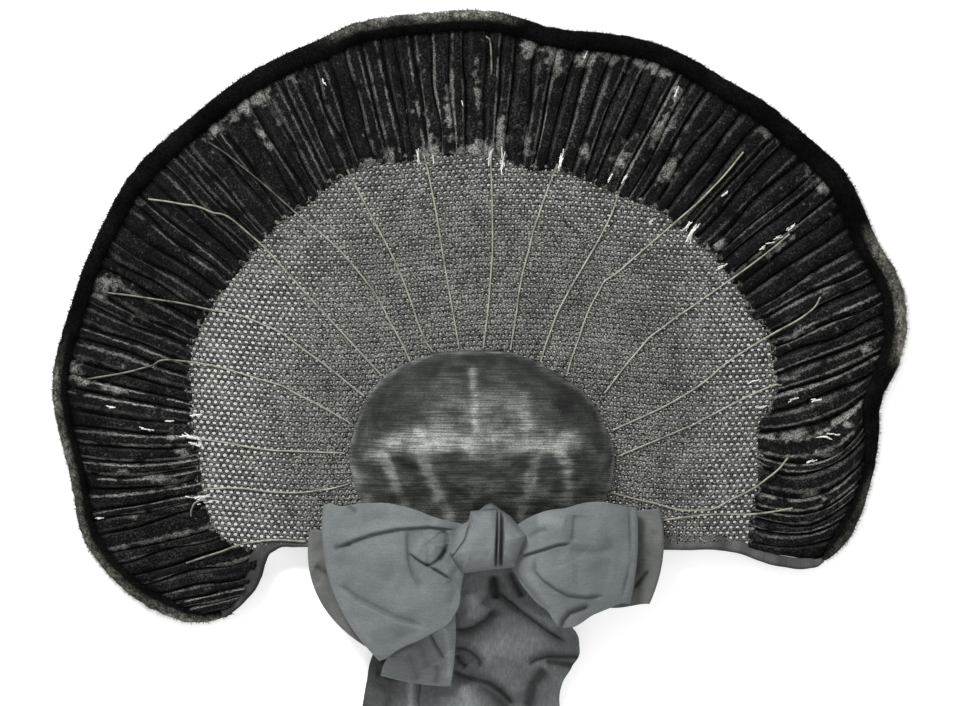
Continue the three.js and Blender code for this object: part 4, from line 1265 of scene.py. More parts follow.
@dataclass
class Frays:
    """Pale lining threads that fray out of tears and where wires pass into the band."""

    form: WheelForm
    radius: float = 0.26 * MM
    lift: float = 3.4
    bends: int = 4
    # x, y, reach of the fray in steps, pairs of threads
    tufts: tuple = (
        (-6.3, 31.2, 0.5, 9), (0.9, 31.2, 0.6, 12), (2.1, 30.9, 0.8, 8), (7.9, 30.6, 0.7, 12),
        (12.9, 29.1, 0.4, 5), (14.2, 28.9, 0.4, 5), (-4.8, 31.0, 0.4, 4), (-29.0, 3.2, 0.7, 12),
        (-28.6, 2.5, 0.5, 10),
        (-28.4, 5.4, 0.5, 6), (-31.2, 4.8, 0.4, 4), (-28.2, -2.8, 0.7, 12), (-27.4, -3.3, 0.5, 6),
        (21.2, 23.9, 0.8, 16), (20.6, 24.3, 0.5, 8), (24.0, 20.2, 0.4, 6), (24.3, 27.5, 0.4, 5),
        (31.0, 24.1, 0.4, 4), (28.0, 22.0, 0.4, 2), (28.8, 22.6, 0.5, 2), (29.6, 23.2, 0.5, 2),
        (30.4, 23.8, 0.4, 1), (31.2, 24.4, 0.3, 1), (33.6, 6.9, 0.6, 5), (31.2, 7.0, 0.4, 4),
        (34.4, 3.2, 0.6, 5), (35.2, 3.5, 0.5, 3), (33.0, 0.8, 0.4, 5), (27.2, 8.8, 0.5, 5),
        (28.2, 6.2, 0.5, 5),
        (-15.8, 38.8, 0.3, 4), (-1.9, 36.6, 0.25, 3), (19.5, 37.7, 0.35, 5), (10.4, 41.3, 0.3, 4),
        (-38.2, -4.9, 0.3, 4), (-37.0, 6.2, 0.4, 4), (-33.5, 4.0, 0.5, 4), (17.0, 24.8, 0.3, 4),
    )

    def build(self) -> Piece:
        """Makes the threads.

        Returns:
            The object.
        """
        random = np.random.default_rng(SEED + 5)
        places, edges, lifts = [], [], []
        for x, y, reach, pairs in self.tufts:
            main = math.atan2(y, x) + random.normal(0, 0.12)
            turned = np.array([[math.cos(main), -math.sin(main)], [math.sin(main), math.cos(main)]])
            for _ in range(2 * pairs):
                spread = random.normal(0, (0.4, 0.07)) * reach
                spot = np.array([x, y]) + turned @ spread
                way = main + random.normal(0, 0.1) + random.choice([0, math.pi])
                length = random.uniform(0.4, 1.2) * reach
                first = len(places)
                for _ in range(self.bends + 1):
                    places.append(spot.copy())
                    lifts.append(self.lift + random.uniform(-0.3, 0.5))
                    way += random.normal(0, 0.1)
                    spot += length / self.bends * np.array([math.cos(way), math.sin(way)])
                edges += [(first + k, first + k + 1) for k in range(self.bends)]
        places = np.array(places)
        folded = smooth(self.form.past_net(places), -0.6, 0.4)
        lift = np.array(lifts) * (0.35 + 0.65 * folded) * MM
        points = self.form.points(places, self.form.height(places) + lift)
        piece = make_object("pale_frays", points, [], random.uniform(0, 1, len(points)), edges)
        set_float(piece, "thick", random.uniform(0.6, 1.5, len(points)))
        run_tree(piece, thread_tree(), {"Radius": self.radius, "Sides": 3,
                                        "Material": FINISHES.get(FRAY_THREAD)})
        finish_piece(piece, [], FRAY_THREAD)
        return piece


@dataclass
class Wires:
    """The thin wires that run out over the net; some dip into the folds of the band."""

    form: WheelForm
    radius: float = 0.44 * MM
    over_net: float = 1.5 * MM
    over_fold: float = 1.9 * MM
    sink: float = 4.4 * MM
    sunk: tuple = (9, 10)
    dull: dict = field(default_factory=lambda: {1: 0.4, 4: 0.55, 5: 0.5, 7: 0.75, 10: 0.5, 14: 0.2})
    curl: tuple = ((-29.0, -4.7), (-28.9, -3.9), (-28.3, -3.2), (-27.4, -3.1))
    routes: tuple = (
        ((-29.5, -9.4), (-26.2, -8.3), (-22.2, -7.2), (-17.6, -7.2)),
        ((-27.6, -2.0), (-24.2, -1.9), (-20.2, -2.3), (-16.2, -2.1), (-13.3, -1.5)),
        ((-28.0, 3.0), (-25.2, 2.6), (-21.8, 2.0), (-18.2, 1.8), (-13.6, 1.6)),
        ((-39.4, 9.0), (-35.4, 9.7), (-33.0, 10.3), (-29.8, 10.8), (-22.2, 9.0), (-18.2, 7.4), (-13.2, 4.7)),
        ((-37.9, 17.7), (-32.7, 17.0), (-27.4, 16.0), (-22.2, 14.6), (-17.4, 11.7), (-11.7, 7.3)),
        ((-33.3, 27.0), (-30.0, 26.5), (-27.0, 25.7), (-23.3, 23.6), (-17.4, 17.4), (-9.9, 9.3)),
        ((-27.3, 32.7), (-24.1, 30.4), (-18.2, 25.3), (-12.6, 20.1), (-8.9, 14.3), (-7.1, 10.8)),
        ((-13.4, 29.9), (-11.0, 25.3), (-8.0, 19.3), (-6.1, 14.0), (-4.8, 11.7)),
        ((-7.6, 36.0), (-6.2, 32.7), (-4.9, 27.6), (-3.7, 20.6), (-2.2, 12.1)),
        ((0.5, 43.3), (1.0, 41.1), (0.9, 32.9), (1.1, 25.3), (0.9, 18.8), (0.2, 12.1)),
        ((7.6, 30.5), (5.7, 25.3), (4.8, 22.1), (3.9, 18.4), (3.5, 15.6), (2.9, 11.9)),
        ((13.7, 27.5), (12.2, 23.8), (8.7, 17.7), (7.0, 14.0), (5.9, 10.7)),
        ((26.2, 31.7), (23.1, 28.1), (19.3, 24.6), (13.9, 19.9), (11.7, 17.7), (9.6, 12.7), (8.5, 9.3)),
        ((30.8, 23.5), (27.6, 20.9), (22.0, 16.9), (18.2, 14.2), (15.7, 11.9), (12.3, 7.6)),
        ((33.9, 17.2), (32.5, 15.5), (28.9, 13.4), (24.5, 10.6), (20.1, 7.3), (13.1, 3.9)),
        ((30.0, 8.4), (28.0, 7.9), (22.2, 5.0), (20.1, 4.0), (13.6, 1.3)),
        ((30.6, 1.1), (28.7, -0.8), (25.0, -3.0), (21.5, -4.1), (17.3, -3.4), (12.9, -2.3)),
        ((31.1, -3.9), (26.9, -4.5), (23.2, -4.5), (18.0, -5.1)),
    )

    def path(self, route: Sequence[Pair], number: int) -> tuple[np.ndarray, np.ndarray]:
        """A smooth path through a route's places, lying on what is under it.

        Args:
            route: Plan places, in steps.
            number: The wire's number.

        Returns:
            Points along the wire, in metres, and how dull it is at each.
        """
        spots = np.array(route, float)
        table = Table([(k, *spot) for k, spot in enumerate(spots)])
        along = np.linspace(0, len(spots) - 1, 12 * len(spots))
        places = table.pair(1, along)
        past = self.form.past_net(places)
        lift = self.over_net + smooth(past, -0.9, 0.3) * self.over_fold
        sunk = smooth(past, -0.1, 0.7) * (smooth(-past, -9.0, -7.0) if number in self.sunk else 0)
        dull = smooth(past, -0.2, 1.0) * self.dull.get(number, 0.1)
        return self.form.points(places, self.form.height(places) + lift - sunk * self.sink), dull

    def build(self) -> None:
        """Makes the wires; a short loose curl goes with the first."""
        tree = thread_tree()
        finish = WireFinish()
        for number, route in enumerate(self.routes, 1):
            points, dull = self.path(route, number)
            edges = [(k, k + 1) for k in range(len(points) - 1)]
            if number == 1:
                loose, faint = self.path(self.curl, number)
                edges += [(len(points) + k, len(points) + k + 1) for k in range(len(loose) - 1)]
                points, dull = np.concatenate([points, loose]), np.concatenate([dull, faint])
            piece = make_object(f"wire_{number:02d}", points, [], dull, edges)
            set_float(piece, "thick", np.ones(len(points)))
            run_tree(piece, tree, {"Radius": self.radius, "Sides": 7, "Material": FINISHES.get(finish)})
            piece.data.polygons.foreach_set("use_smooth", [True] * len(piece.data.polygons))
            finish_piece(piece, [f"spoke_wire_{number:02d}"], finish)


@dataclass
class Crown:
    """The velvet cap, full above and drawn down to the bow below."""

    form: WheelForm
    rise: float = 43 * MM
    top: Pair = (0.0, 2.3)
    gather: float = 1.5 * MM
    pucker: float = 0.35 * MM
    puckers: int = 46
    wall: float = 1.6 * MM
    columns: int = 200
    rows: int = 80
    flat: Pair = (0.15, 0.12)
    crest_line: float = 2.7
    brow_line: float = 5.6
    rubbed: tuple = (
        # from x, y to x, y, half width, strength
        (-9.8, 1.2, -9.2, 0.2, 0.45, 0.99), (-9.4, 0.6, -7.7, -3.4, 0.42, 0.9),
        (-6.2, 3.4, -5.6, 0.5, 0.5, 0.99), (-5.6, 0.5, -3.2, -4.8, 0.5, 0.99),
        (5.6, 2.8, 5.0, -0.5, 0.5, 0.81), (5.0, -0.5, 3.9, -4.8, 0.45, 0.81),
        (6.8, 2.4, 8.6, 0.8, 0.35, 1.08), (7.8, 1.3, 8.2, 0.9, 0.35, 0.72), (8.6, 0.6, 8.5, -3.6, 0.5, 0.63),
        (-0.9, 9.8, -0.5, 3.5, 0.35, 0.54), (4.2, 7.5, 4.7, 4.5, 0.5, 0.36),
        (-11.2, 1.4, -9.8, 1.2, 0.5, 0.63),
    )

    def build(self) -> Piece:
        """Makes the cap.

        Returns:
            The object.
        """
        form = self.form
        angle = -90 + 360 * np.arange(self.columns) / self.columns
        edge = unit(angle) * form.crown.at(1, angle)[:, None]
        top = np.array(self.top)
        share = (np.linspace(0, 1, self.rows) ** 1.25)[:, None] * 0.995
        places = edge[None] + (top - edge)[None] * share[..., None]
        down = (top[1] - edge[:, 1]) / np.linalg.norm(edge - top, axis=-1)
        slope = smooth(down, 0.05, 0.55)[None]
        dome = (1 - (1 - share) ** 2.2) ** (1 / 1.6)
        ramp = (share * share * (3 - 2 * share)) ** 1.6
        profile = dome + (ramp - dome) * slope
        gathers = np.cos(((edge[:, 0] / 12) * 4.5 + 0.5) * math.pi)[None] * slope
        ridge = self.gather * gathers * np.sin(math.pi * np.minimum(share * 1.3, 1))
        puckers = self.pucker * np.sin(np.radians(angle) * self.puckers)[None] * np.exp(-share / 0.05)
        height = form.crown_base + self.rise * profile + ridge + puckers
        height += 0.25 * MM * ripple(places, 0.8, 8.0) * smooth(share, 0.05, 0.2)
        grid = form.points(places, height)
        piece = cloth_shell("crown_cap", grid, -self.wall, self.wear_and_painted_light(places), ringed=True)
        # Painted light: the cap's lower part, shaded by the bow and turned away from the key lamp, is
        # lightened.
        set_float(piece, "painted_shading", -0.75 * smooth(-places[..., 1], -1.2, 1.2))
        piece = self.closed(piece)
        finish_piece(piece, ["crown"], CROWN_VELVET)
        return piece

    def closed(self, piece: Piece) -> Piece:
        """Draws the last ring of each face of the cloth together, so that no hole is left at the top.

        Args:
            piece: The cap, as a wall of cloth.

        Returns:
            The same object with its new mesh.
        """
        build = bmesh.new()
        build.from_mesh(piece.data)
        build.verts.ensure_lookup_table()
        face = self.rows * self.columns
        rings = [[build.verts[k] for k in range(end - self.columns, end)] for end in (face, 2 * face)]
        for ring in rings:
            middle = sum((point.co for point in ring), Vector()) / self.columns
            bmesh.ops.pointmerge(build, verts=ring, merge_co=middle)
        loose = [edge for edge in build.edges if not edge.link_faces]
        bmesh.ops.delete(build, geom=loose, context="EDGES")
        build.to_mesh(piece.data)
        build.free()
        return piece

    def wear_and_painted_light(self, places: np.ndarray) -> np.ndarray:
        """The light worn crest, the gathers' worn ridges, and painted light on the cap's lower part and along
        its edge.

        Args:
            places: The cap's grid of plan places.

        Returns:
            A value from 0 to 1 for each point.
        """
        x, y = places[..., 0], places[..., 1]
        cloud = ripple(places, 0.33, 2.0)
        # Even base, darker towards the top; the rise on the lower part is painted light where the bow shades
        # it.
        all_over = 0.14 - 0.08 * smooth(y, 3.0, 6.0) + 0.16 * smooth(-y, 0.0, 1.5)
        top = 0.08 * smooth(7.5 - np.abs(x), 0, 4) * smooth(11 - y, 0, 5) * smooth(y, 1.0, 3.0)
        broad = 1.1 + 0.5 * smooth(6.5 - np.abs(x), 0, 3)
        crest = hump(y - self.crest_line, broad) * smooth(10.6 - np.abs(x + 0.3), 0.0, 1.6)
        brow = hump(y - self.brow_line, 2.0) * smooth(7.5 - np.abs(x - 0.5), 0, 4)
        # A painted highlight in a thin line along the cap's edge at its sides, fading out behind the bow.
        from_edge = np.linalg.norm(places - places[:1], axis=-1)
        rim = 0.4 * hump(from_edge, 0.4) * smooth(y, -3.0, 0.0)
        wear_and_painted_light = all_over + top + crest * (0.66 + 0.2 * cloud) + brow * 0.16 * (1 + cloud) + rim
        for ax, ay, bx, by, wide, strength in self.rubbed:
            away, _ = distance_to_line(np.array([ax, ay]), np.array([bx - ax, by - ay]), places)
            wear_and_painted_light += hump(away, wide) * strength
        return np.clip(wear_and_painted_light, 0, 1)


@dataclass
class HemBinding:
    """The satin binding along the wheel's lower edge."""

    form: WheelForm
    thickness: float = 2.0 * MM
    wall: float = 0.5 * MM
    stations: int = 300
    folded: float = 2.2
    # share of the width, height as a share of the thickness, painted shade
    section: tuple = (
        (1, -0.5, 0.1), (0.7, -0.45, 0.1), (0.4, -0.5, 0.1), (0.12, -0.42, 0.3), (0, -0.15, 0.6),
        (0, 0.15, 0.5), (0.12, 0.42, 0.25), (0.3, 0.5, 0), (0.55, 0.42, 0), (0.8, 0.5, 0), (1, 0.4, 0.1),
    )

    def build(self) -> Piece:
        """Makes the folded strip.

        Returns:
            The object.
        """
        form = self.form
        rows = np.array(HEM)
        run = np.concatenate([[0], np.cumsum(np.linalg.norm(np.diff(rows[:, :2], axis=0), axis=1))])
        table = Table(np.column_stack([run, rows]))
        along = np.linspace(0, run[-1], self.stations)
        edge = table.pair(1, along)
        way = np.gradient(edge, axis=0)
        way /= np.linalg.norm(way, axis=-1, keepdims=True)
        upward = np.stack([-way[:, 1], way[:, 0]], axis=-1)
        section = np.array(self.section)
        width = table.at(3, along)
        crumple = waver(along, 1.4, 3.0)
        places = edge[:, None] + upward[:, None] * (section[None, :, 0] * width[:, None])[..., None]
        level = section[None, :, 1] * self.thickness * (1 + 0.4 * crumple[:, None])
        level += form.height(edge)[:, None]
        wear_and_painted_light = np.clip(0.4 + waver(along, 0.8, 7.0), 0, 1)
        piece = cloth_shell("satin_binding", form.points(places, level), self.wall,
                            np.broadcast_to(wear_and_painted_light[:, None], places.shape[:2]))
        # Painted shade: darker towards both ends, in the wrinkles and along the folded edge.
        shade = 0.68 * smooth(-edge[:, 0], 17, 20) + 0.3 * smooth(edge[:, 0], 18, 24)
        wrinkle_shade = 0.35 * np.abs(waver(along, 2.6, 11.0))
        set_float(piece, "painted_shading", np.clip((shade + wrinkle_shade)[:, None] + section[None, :, 2], 0, 0.95))
        finish_piece(piece, ["hem_binding"], SATIN)
        return piece


@dataclass(frozen=True)
class Crease:
    """A fold line pressed into a cloth, through plan places in steps."""

    places: tuple[Pair, ...]
    depth: float = 1.0
    width: float = 0.25
    lift: float = 0.0
    # Painted shade along the line; below zero a painted highlight.
    painted_shading: float = 0.5

    def marks(self, where: np.ndarray) -> tuple[np.ndarray, np.ndarray]:
        """What the crease does at plan places.

        Args:
            where: Plan places.

        Returns:
            The height it adds, in millimetres, with the side left of the line lifted, and the painted
            shade it lays along the line; below zero it is a painted highlight.
        """
        best = np.full(where.shape[:-1], 1e9)
        side = np.zeros(where.shape[:-1])
        spot = np.zeros(where.shape[:-1])
        corners = np.array(self.places)
        lengths = np.linalg.norm(np.diff(corners, axis=0), axis=1)
        for k, (start, length) in enumerate(zip(corners, lengths)):
            run = corners[k + 1] - start
            offset = where - start
            distance, along = distance_to_line(start, run, where)
            nearer = distance < best
            best = np.where(nearer, distance, best)
            side = np.where(nearer, np.sign(run[0] * offset[..., 1] - run[1] * offset[..., 0]), side)
            spot = np.where(nearer, (lengths[:k].sum() + along * length) / lengths.sum(), spot)
        taper = smooth(spot, -0.03, 0.14) * smooth(1 - spot, -0.03, 0.14)
        groove = -self.depth * hump(best, self.width)
        step = self.lift * (1 + np.tanh(side * best / (self.width * 0.5))) * np.exp(-best / 1.8)
        # Painted shade: a dark core and a soft halo along the line.
        line = 0.5 * hump(best, self.width * 0.4) + 0.36 * hump(best, self.width * 2.0)
        return (groove + step) * taper, self.painted_shading * line * taper


def creases(rows: Sequence[Sequence]) -> tuple[Crease, ...]:
    """Creases from rows of depth, width, lift, painted shading and then the places."""
    return tuple(Crease(tuple(row[4:]), *row[:4]) for row in rows)


def crease_marks(pressed: Sequence[Crease], where: np.ndarray) -> tuple[np.ndarray, np.ndarray]:
    """What several creases do together at plan places.

    Args:
        pressed: The creases.
        where: Plan places.

    Returns:
        The height they add, in millimetres, and the painted shade they lay on the cloth; below zero it is a
        painted highlight.
    """
    relief = np.zeros(where.shape[:-1])
    darkest = np.zeros(where.shape[:-1])
    lightest = np.zeros(where.shape[:-1])
    for crease in pressed:
        height, dark = crease.marks(where)
        relief += height
        darkest = np.maximum(darkest, dark)
        lightest = np.minimum(lightest, dark)
    return relief, np.minimum(darkest, 1) + lightest


def inside_depth(outline: np.ndarray, where: np.ndarray) -> np.ndarray:
    """How far plan places lie inside a closed outline; outside it is below zero.

    Args:
        outline: The outline's corners.
        where: Plan places.

    Returns:
        The distances.
    """
    best = np.full(where.shape[:-1], 1e9)
    within = np.zeros(where.shape[:-1], bool)
    for start, end in zip(outline, np.roll(outline, -1, axis=0)):
        run = end - start
        best = np.minimum(best, distance_to_line(start, run, where)[0])
        crosses = (start[1] > where[..., 1]) != (end[1] > where[..., 1])
        rise = run[1] if run[1] else 1e-12
        within ^= crosses & (where[..., 0] < start[0] + run[0] * (where[..., 1] - start[1]) / rise)
    return np.where(within, best, -best)


@dataclass
class RibbonLoop:
    """A loop of the bow, out along its underside, round its end and back along its top."""

    form: WheelForm
    name: str
    node: str
    stations: Sequence[tuple[float, ...]]
    creases: Sequence[Crease] = ()
    finish: ClothFinish = SILK
    base: float = 17.4 * MM
    rise: float = 22 * MM
    wall: float = 0.9 * MM
    across: int = 110
    rows_under: int = 20
    rows_over: int = 130
    # Base share of the lighter worn colour; raised on the short tail as painted light against the shade of
    # the loop over it.
    sheen: float = 0.5
    eased: float = 1.15

    def build(self) -> Piece:
        """Makes the loop.

        Returns:
            The object.
        """
        form = self.form
        table = Table([(k, *row) for k, row in enumerate(self.stations)])
        last = len(self.stations) - 1
        rows = np.array(self.stations)
        ends = (rows[-1] - rows[0])[:2] + (rows[-1] - rows[0])[2:4]
        outwards = ends / np.linalg.norm(ends)
        under = np.linspace(0, last, self.rows_under)
        over = np.linspace(last, 0, self.rows_over)
        bend = np.linspace(-90, 90, 12)[1:-1]
        at = np.concatenate([under, np.full(len(bend), last), over])
        level = np.concatenate([-np.ones(len(under)), np.sin(np.radians(bend)), np.ones(len(over))])
        half = table.at(7, at)
        push = np.zeros(len(at))
        push[len(under):len(under) + len(bend)] = (
            self.rise * self.stations[-1][6] * np.cos(np.radians(bend)) / form.step)
        share = np.linspace(0, 1, self.across)
        a, b = table.pair(1, at), table.pair(3, at)
        places = a[:, None] + (b - a)[:, None] * share[None, :, None]
        bulge = table.at(5, at)[:, None] * 4 * share * (1 - share) + push[:, None]
        inset = np.where(level < 0, 0.03, 0.0)[:, None]
        places = places + outwards * bulge[..., None]
        places = places + (places.mean(axis=1, keepdims=True) - places) * inset[..., None]
        crown = 1 - 0.25 * (2 * share - 1) ** 4
        height = self.base + self.rise * (table.at(6, at)[:, None] + (level * half)[:, None] * crown[None])
        top = smooth(level, 0.2, 1.0)[:, None]
        relief, painted_shading = crease_marks(self.creases, places)
        soft = 2.2 * ripple(places, 0.24, 5.0) + 0.35 * ripple(places, 0.9, 2.0)
        height = height + (relief + soft) * MM * top
        # Lighter on raised cloth, darker in the creases: painted light and shade that follow the relief.
        wear_and_painted_light = np.clip(self.sheen + 0.35 * ripple(places, 0.2, 3.0) + 0.06 * relief, 0, 1)
        side = -1 if outwards[0] < 0 else 1
        piece = cloth_shell(self.name, form.points(places, height), self.wall * side, wear_and_painted_light)
        # Painted shade along the creases and painted highlights where the value is below zero, on the loop's
        # top.
        set_float(piece, "painted_shading", painted_shading * top)
        finish_piece(piece, [self.node], self.finish)
        return piece


@dataclass
class RibbonTail:
    """A tail of the bow that falls from the knot and lies in folds."""

    form: WheelForm
    name: str
    node: str
    stations: Sequence[tuple[float, ...]]
    creases: Sequence[Crease] = ()
    finish: ClothFinish = MOIRE
    wall: float = 0.9 * MM
    across: int = 90
    rows: int = 130
    lowest: float = 1.2 * MM
    eased: Pair = (1.08, 1.04)

    def build(self) -> Piece:
        """Makes the tail.

        Returns:
            The object.
        """
        form = self.form
        table = Table([(k, *row) for k, row in enumerate(self.stations)])
        at = np.linspace(0, len(self.stations) - 1, self.rows)
        share = np.linspace(0, 1, self.across)
        a, b = table.pair(1, at), table.pair(3, at)
        places = a[:, None] + (b - a)[:, None] * share[None, :, None]
        relief, painted_shading = crease_marks(self.creases, places)
        calm = smooth(at, 0.2, 1.5)[:, None]
        soft = 1.5 * ripple(places, 0.24, 6.0) + 0.4 * ripple(places, 0.8, 3.0)
        height = table.at(5, at)[:, None] * MM + (relief + soft) * MM * calm
        # Lighter on raised folds, darker in the hollows: painted light and shade that follow the relief.
        wear_and_painted_light = np.clip(0.58 + 0.3 * ripple(places, 0.3, 4.0) + 0.11 * (relief + soft), 0, 1)
        piece = cloth_shell(self.name, form.points(places, np.maximum(height, self.lowest)), self.wall, wear_and_painted_light)
        # Painted shade along the creases and painted highlights where the value is below zero.
        set_float(piece, "painted_shading", painted_shading)
        finish_piece(piece, [self.node], self.finish)
        return piece


@dataclass(frozen=True)
class Panel:
    """A fold of silk on the knot's face, as its outline in steps and its height in millimetres."""

    outline: tuple[Pair, ...]
    height: float


@dataclass
class Knot:
    """The knot, a pad of silk wrapped in flat folds."""

    form: WheelForm
    low: float = 23.4 * MM
    high: float = 44.0 * MM
    middle: Pair = (0.6, -7.0)
    outline: tuple = (
        (4.6, -6.5), (4.0, -5.9), (2.9, -4.6), (1.9, -3.9), (1.1, -3.3), (0.5, -3.4), (-0.2, -4.0),
        (-1.1, -4.1), (-1.3, -5.1), (-1.9, -5.4), (-2.6, -6.0), (-3.4, -8.3), (-3.0, -9.0), (-1.9, -10.3),
        (1.3, -9.9), (3.4, -9.7), (3.8, -8.6),
    )
    panels: tuple = (
        Panel(((-2.6, -6.0), (-1.9, -5.3), (-1.1, -5.1), (-1.5, -6.9), (-2.8, -8.7), (-3.5, -8.3)), 1.1),
        Panel(((-0.2, -4.1), (0.5, -3.2), (1.2, -3.1), (2.0, -4.0), (0.6, -4.3)), 0.9),
        Panel(((-1.1, -4.0), (1.75, -3.9), (1.5, -7.0), (1.35, -10.2), (-2.0, -10.6), (-3.0, -8.8),
               (-1.7, -7.0), (-1.2, -5.5)), 2.4),
        Panel(((1.62, -3.8), (1.98, -3.9), (1.85, -7.0), (1.8, -10.1), (1.45, -10.1), (1.6, -7.0)), 3.0),
        Panel(((2.15, -3.9), (2.7, -4.2), (4.1, -6.0), (4.8, -6.6), (3.9, -8.7), (3.5, -10.1), (1.95, -10.1),
               (2.15, -7.0)), 1.9),
    )
    creases: tuple = (
        Crease(((1.62, -4.0), (1.55, -7.0), (1.4, -9.9)), depth=1.0, width=0.14, painted_shading=0.75),
        Crease(((2.05, -4.2), (2.0, -7.0), (1.88, -9.8)), depth=1.6, width=0.16, painted_shading=1.0),
        Crease(((2.6, -4.6), (2.3, -6.6), (2.3, -8.4)), depth=0.6, width=0.3, painted_shading=0.25),
        Crease(((-1.2, -9.3), (-1.1, -8.7), (-0.2, -8.2), (0.9, -8.6)), depth=0.4, width=0.4, painted_shading=0.15),
        Crease(((-2.0, -9.0), (-1.9, -9.9)), depth=0.5, width=0.3, painted_shading=0.25),
    )

    def build(self) -> Piece:
        """Makes the knot.

        Returns:
            The object.
        """
        form = self.form
        corners = np.array([*self.outline, self.outline[0]])
        run = np.concatenate([[0], np.cumsum(np.linalg.norm(np.diff(corners, axis=0), axis=1))])
        at = np.linspace(0, run[-1], 221)[:-1]
        ring = np.stack([np.interp(at, run, corners[:, k]) for k in (0, 1)], axis=-1)
        ring = (np.roll(ring, 1, 0) + ring * 2 + np.roll(ring, -1, 0)) / 4
        middle = np.array(self.middle)
        under = np.linspace(0.05, 1, 14)[:-1]
        over = np.linspace(1, 0.01, 86) ** 0.9
        size = np.concatenate([under, over])
        places = middle + (ring - middle)[None] * size[:, None, None]
        deep = np.maximum(inside_depth(ring, places), 0)
        bulge = np.sqrt(1 - (1 - np.clip(deep / 2.4, 0, 1)) ** 2)
        mid = (self.low + self.high) / 2 - 2 * MM
        base = np.where((np.arange(len(size)) < len(under))[:, None], mid + (self.low - mid) * bulge,
                        mid + (self.high - mid) * bulge)
        face = smooth(deep, 0.0, 0.5) * (np.arange(len(size)) >= len(under))[:, None]
        relief = np.zeros(places.shape[:2])
        painted_shading = np.zeros(places.shape[:2])
        for panel in self.panels:
            inner = inside_depth(np.array(panel.outline), places)
            relief = np.maximum(relief, panel.height * smooth(inner, -0.05, 0.22))
            # Painted shade: a dark line along each panel's edge, where one fold lies over the next.
            rim = 0.8 * hump(inner + 0.03, 0.09)
            painted_shading = np.maximum(painted_shading * smooth(-inner, -0.1, 0.0), rim)
        pressed, dark = crease_marks(self.creases, places)
        height = base + (relief + pressed + 0.3 * ripple(places, 0.7, 3.0)) * MM * face
        rows, columns = places.shape[:2]
        faces = grid_faces(rows, columns, ringed=True)
        numbers = list(range(columns))
        faces += [numbers[::-1], [k + (rows - 1) * columns for k in numbers]]
        wear_and_painted_light = np.clip(0.75 + 0.3 * ripple(places, 0.4, 2.0), 0, 1)
        piece = make_object("bow_knot_pad", form.points(places, height), faces, wear_and_painted_light)
        outward(piece)
        set_float(piece, "painted_shading", np.maximum(painted_shading, dark) * face)
        finish_piece(piece, ["bow_knot"], SILK)
        return piece


LEFT_LOOP = (
    # a x, a y, b x, b y, bulge, middle height, half height
    (-1.3, -5.5, -1.5, -9.3, 0, 0.56, 0.16),
    (-4.6, -4.7, -2.0, -11.6, 0, 0.6, 0.26),
    (-7.8, -3.6, -2.7, -14.5, 0.5, 0.6, 0.3),
    (-11.2, -3.3, -5.1, -16.4, 1.0, 0.56, 0.3),
    (-13.7, -3.6, -7.8, -17.7, 1.6, 0.48, 0.25),
    (-15.0, -3.3, -9.4, -18.8, 2.0, 0.4, 0.17),
)
RIGHT_LOOP = (
    (3.0, -5.8, 2.7, -9.3, 0, 0.56, 0.16),
    (5.7, -4.3, 4.6, -12.2, 0, 0.6, 0.26),
    (8.3, -3.8, 6.6, -14.1, 0, 0.6, 0.3),
    (10.9, -3.2, 8.4, -15.7, 0.1, 0.56, 0.3),
    (13.2, -3.4, 11.2, -14.4, 0.3, 0.48, 0.25),
    (14.7, -3.7, 14.0, -13.3, 0.4, 0.4, 0.17),
)
LEFT_BACK_LOOP = (
    (-3.6, -7.0, -3.8, -9.0, 0, 0.09, 0.08),
    (-8.0, -6.6, -5.2, -12.5, 0.4, 0.09, 0.08),
    (-12.5, -6.3, -7.6, -15.9, 1.2, 0.09, 0.08),
    (-16.8, -6.0, -10.6, -17.9, 2.3, 0.09, 0.08),
)
RIGHT_BACK_LOOP = (
    (4.8, -7.0, 4.6, -9.0, 0, 0.09, 0.08),
    (8.5, -6.3, 7.2, -11.6, 0, 0.09, 0.08),
    (13.4, -4.6, 11.5, -13.6, 0.3, 0.09, 0.08),
    (17.5, -3.9, 16.4, -13.4, 0.8, 0.09, 0.08),
)
SHORT_TAIL = (
    (-7.6, -16.2, -2.6, -14.3, 0, 1.17, 0.09),
    (-9.4, -18.9, -2.6, -17.6, 0, 0.86, 0.09),
    (-10.0, -20.3, -3.0, -21.4, 0.25, 0.62, 0.09),
)
CENTRE_TAIL = (
    # a x, a y, b x, b y, height in millimetres
    (-2.4, -8.9, 3.6, -8.8, 23.0),
    (-3.0, -10.6, 4.8, -10.6, 19.9),
    (-3.4, -12.8, 6.6, -12.6, 15.7),
    (-3.7, -15.5, 8.6, -15.2, 12.0),
    (-3.7, -18.0, 9.8, -17.6, 8.8),
    (-5.4, -20.0, 9.0, -19.9, 6.9),
    (-6.1, -22.0, 7.9, -22.1, 5.8),
    (-6.1, -24.9, 8.0, -24.9, 4.6),
)
LEFT_TAIL = (
    (-2.4, -8.6, -1.6, -9.1, 23.0),
    (-3.0, -10.0, -2.1, -10.8, 15.2),
    (-6.6, -13.4, -4.0, -15.6, 12.9),
    (-9.4, -16.2, -5.6, -18.0, 9.2),
    (-10.8, -18.4, -5.9, -19.9, 6.0),
    (-11.5, -21.4, -5.5, -21.8, 3.9),
    (-12.1, -24.9, -5.5, -24.9, 3.0),
)
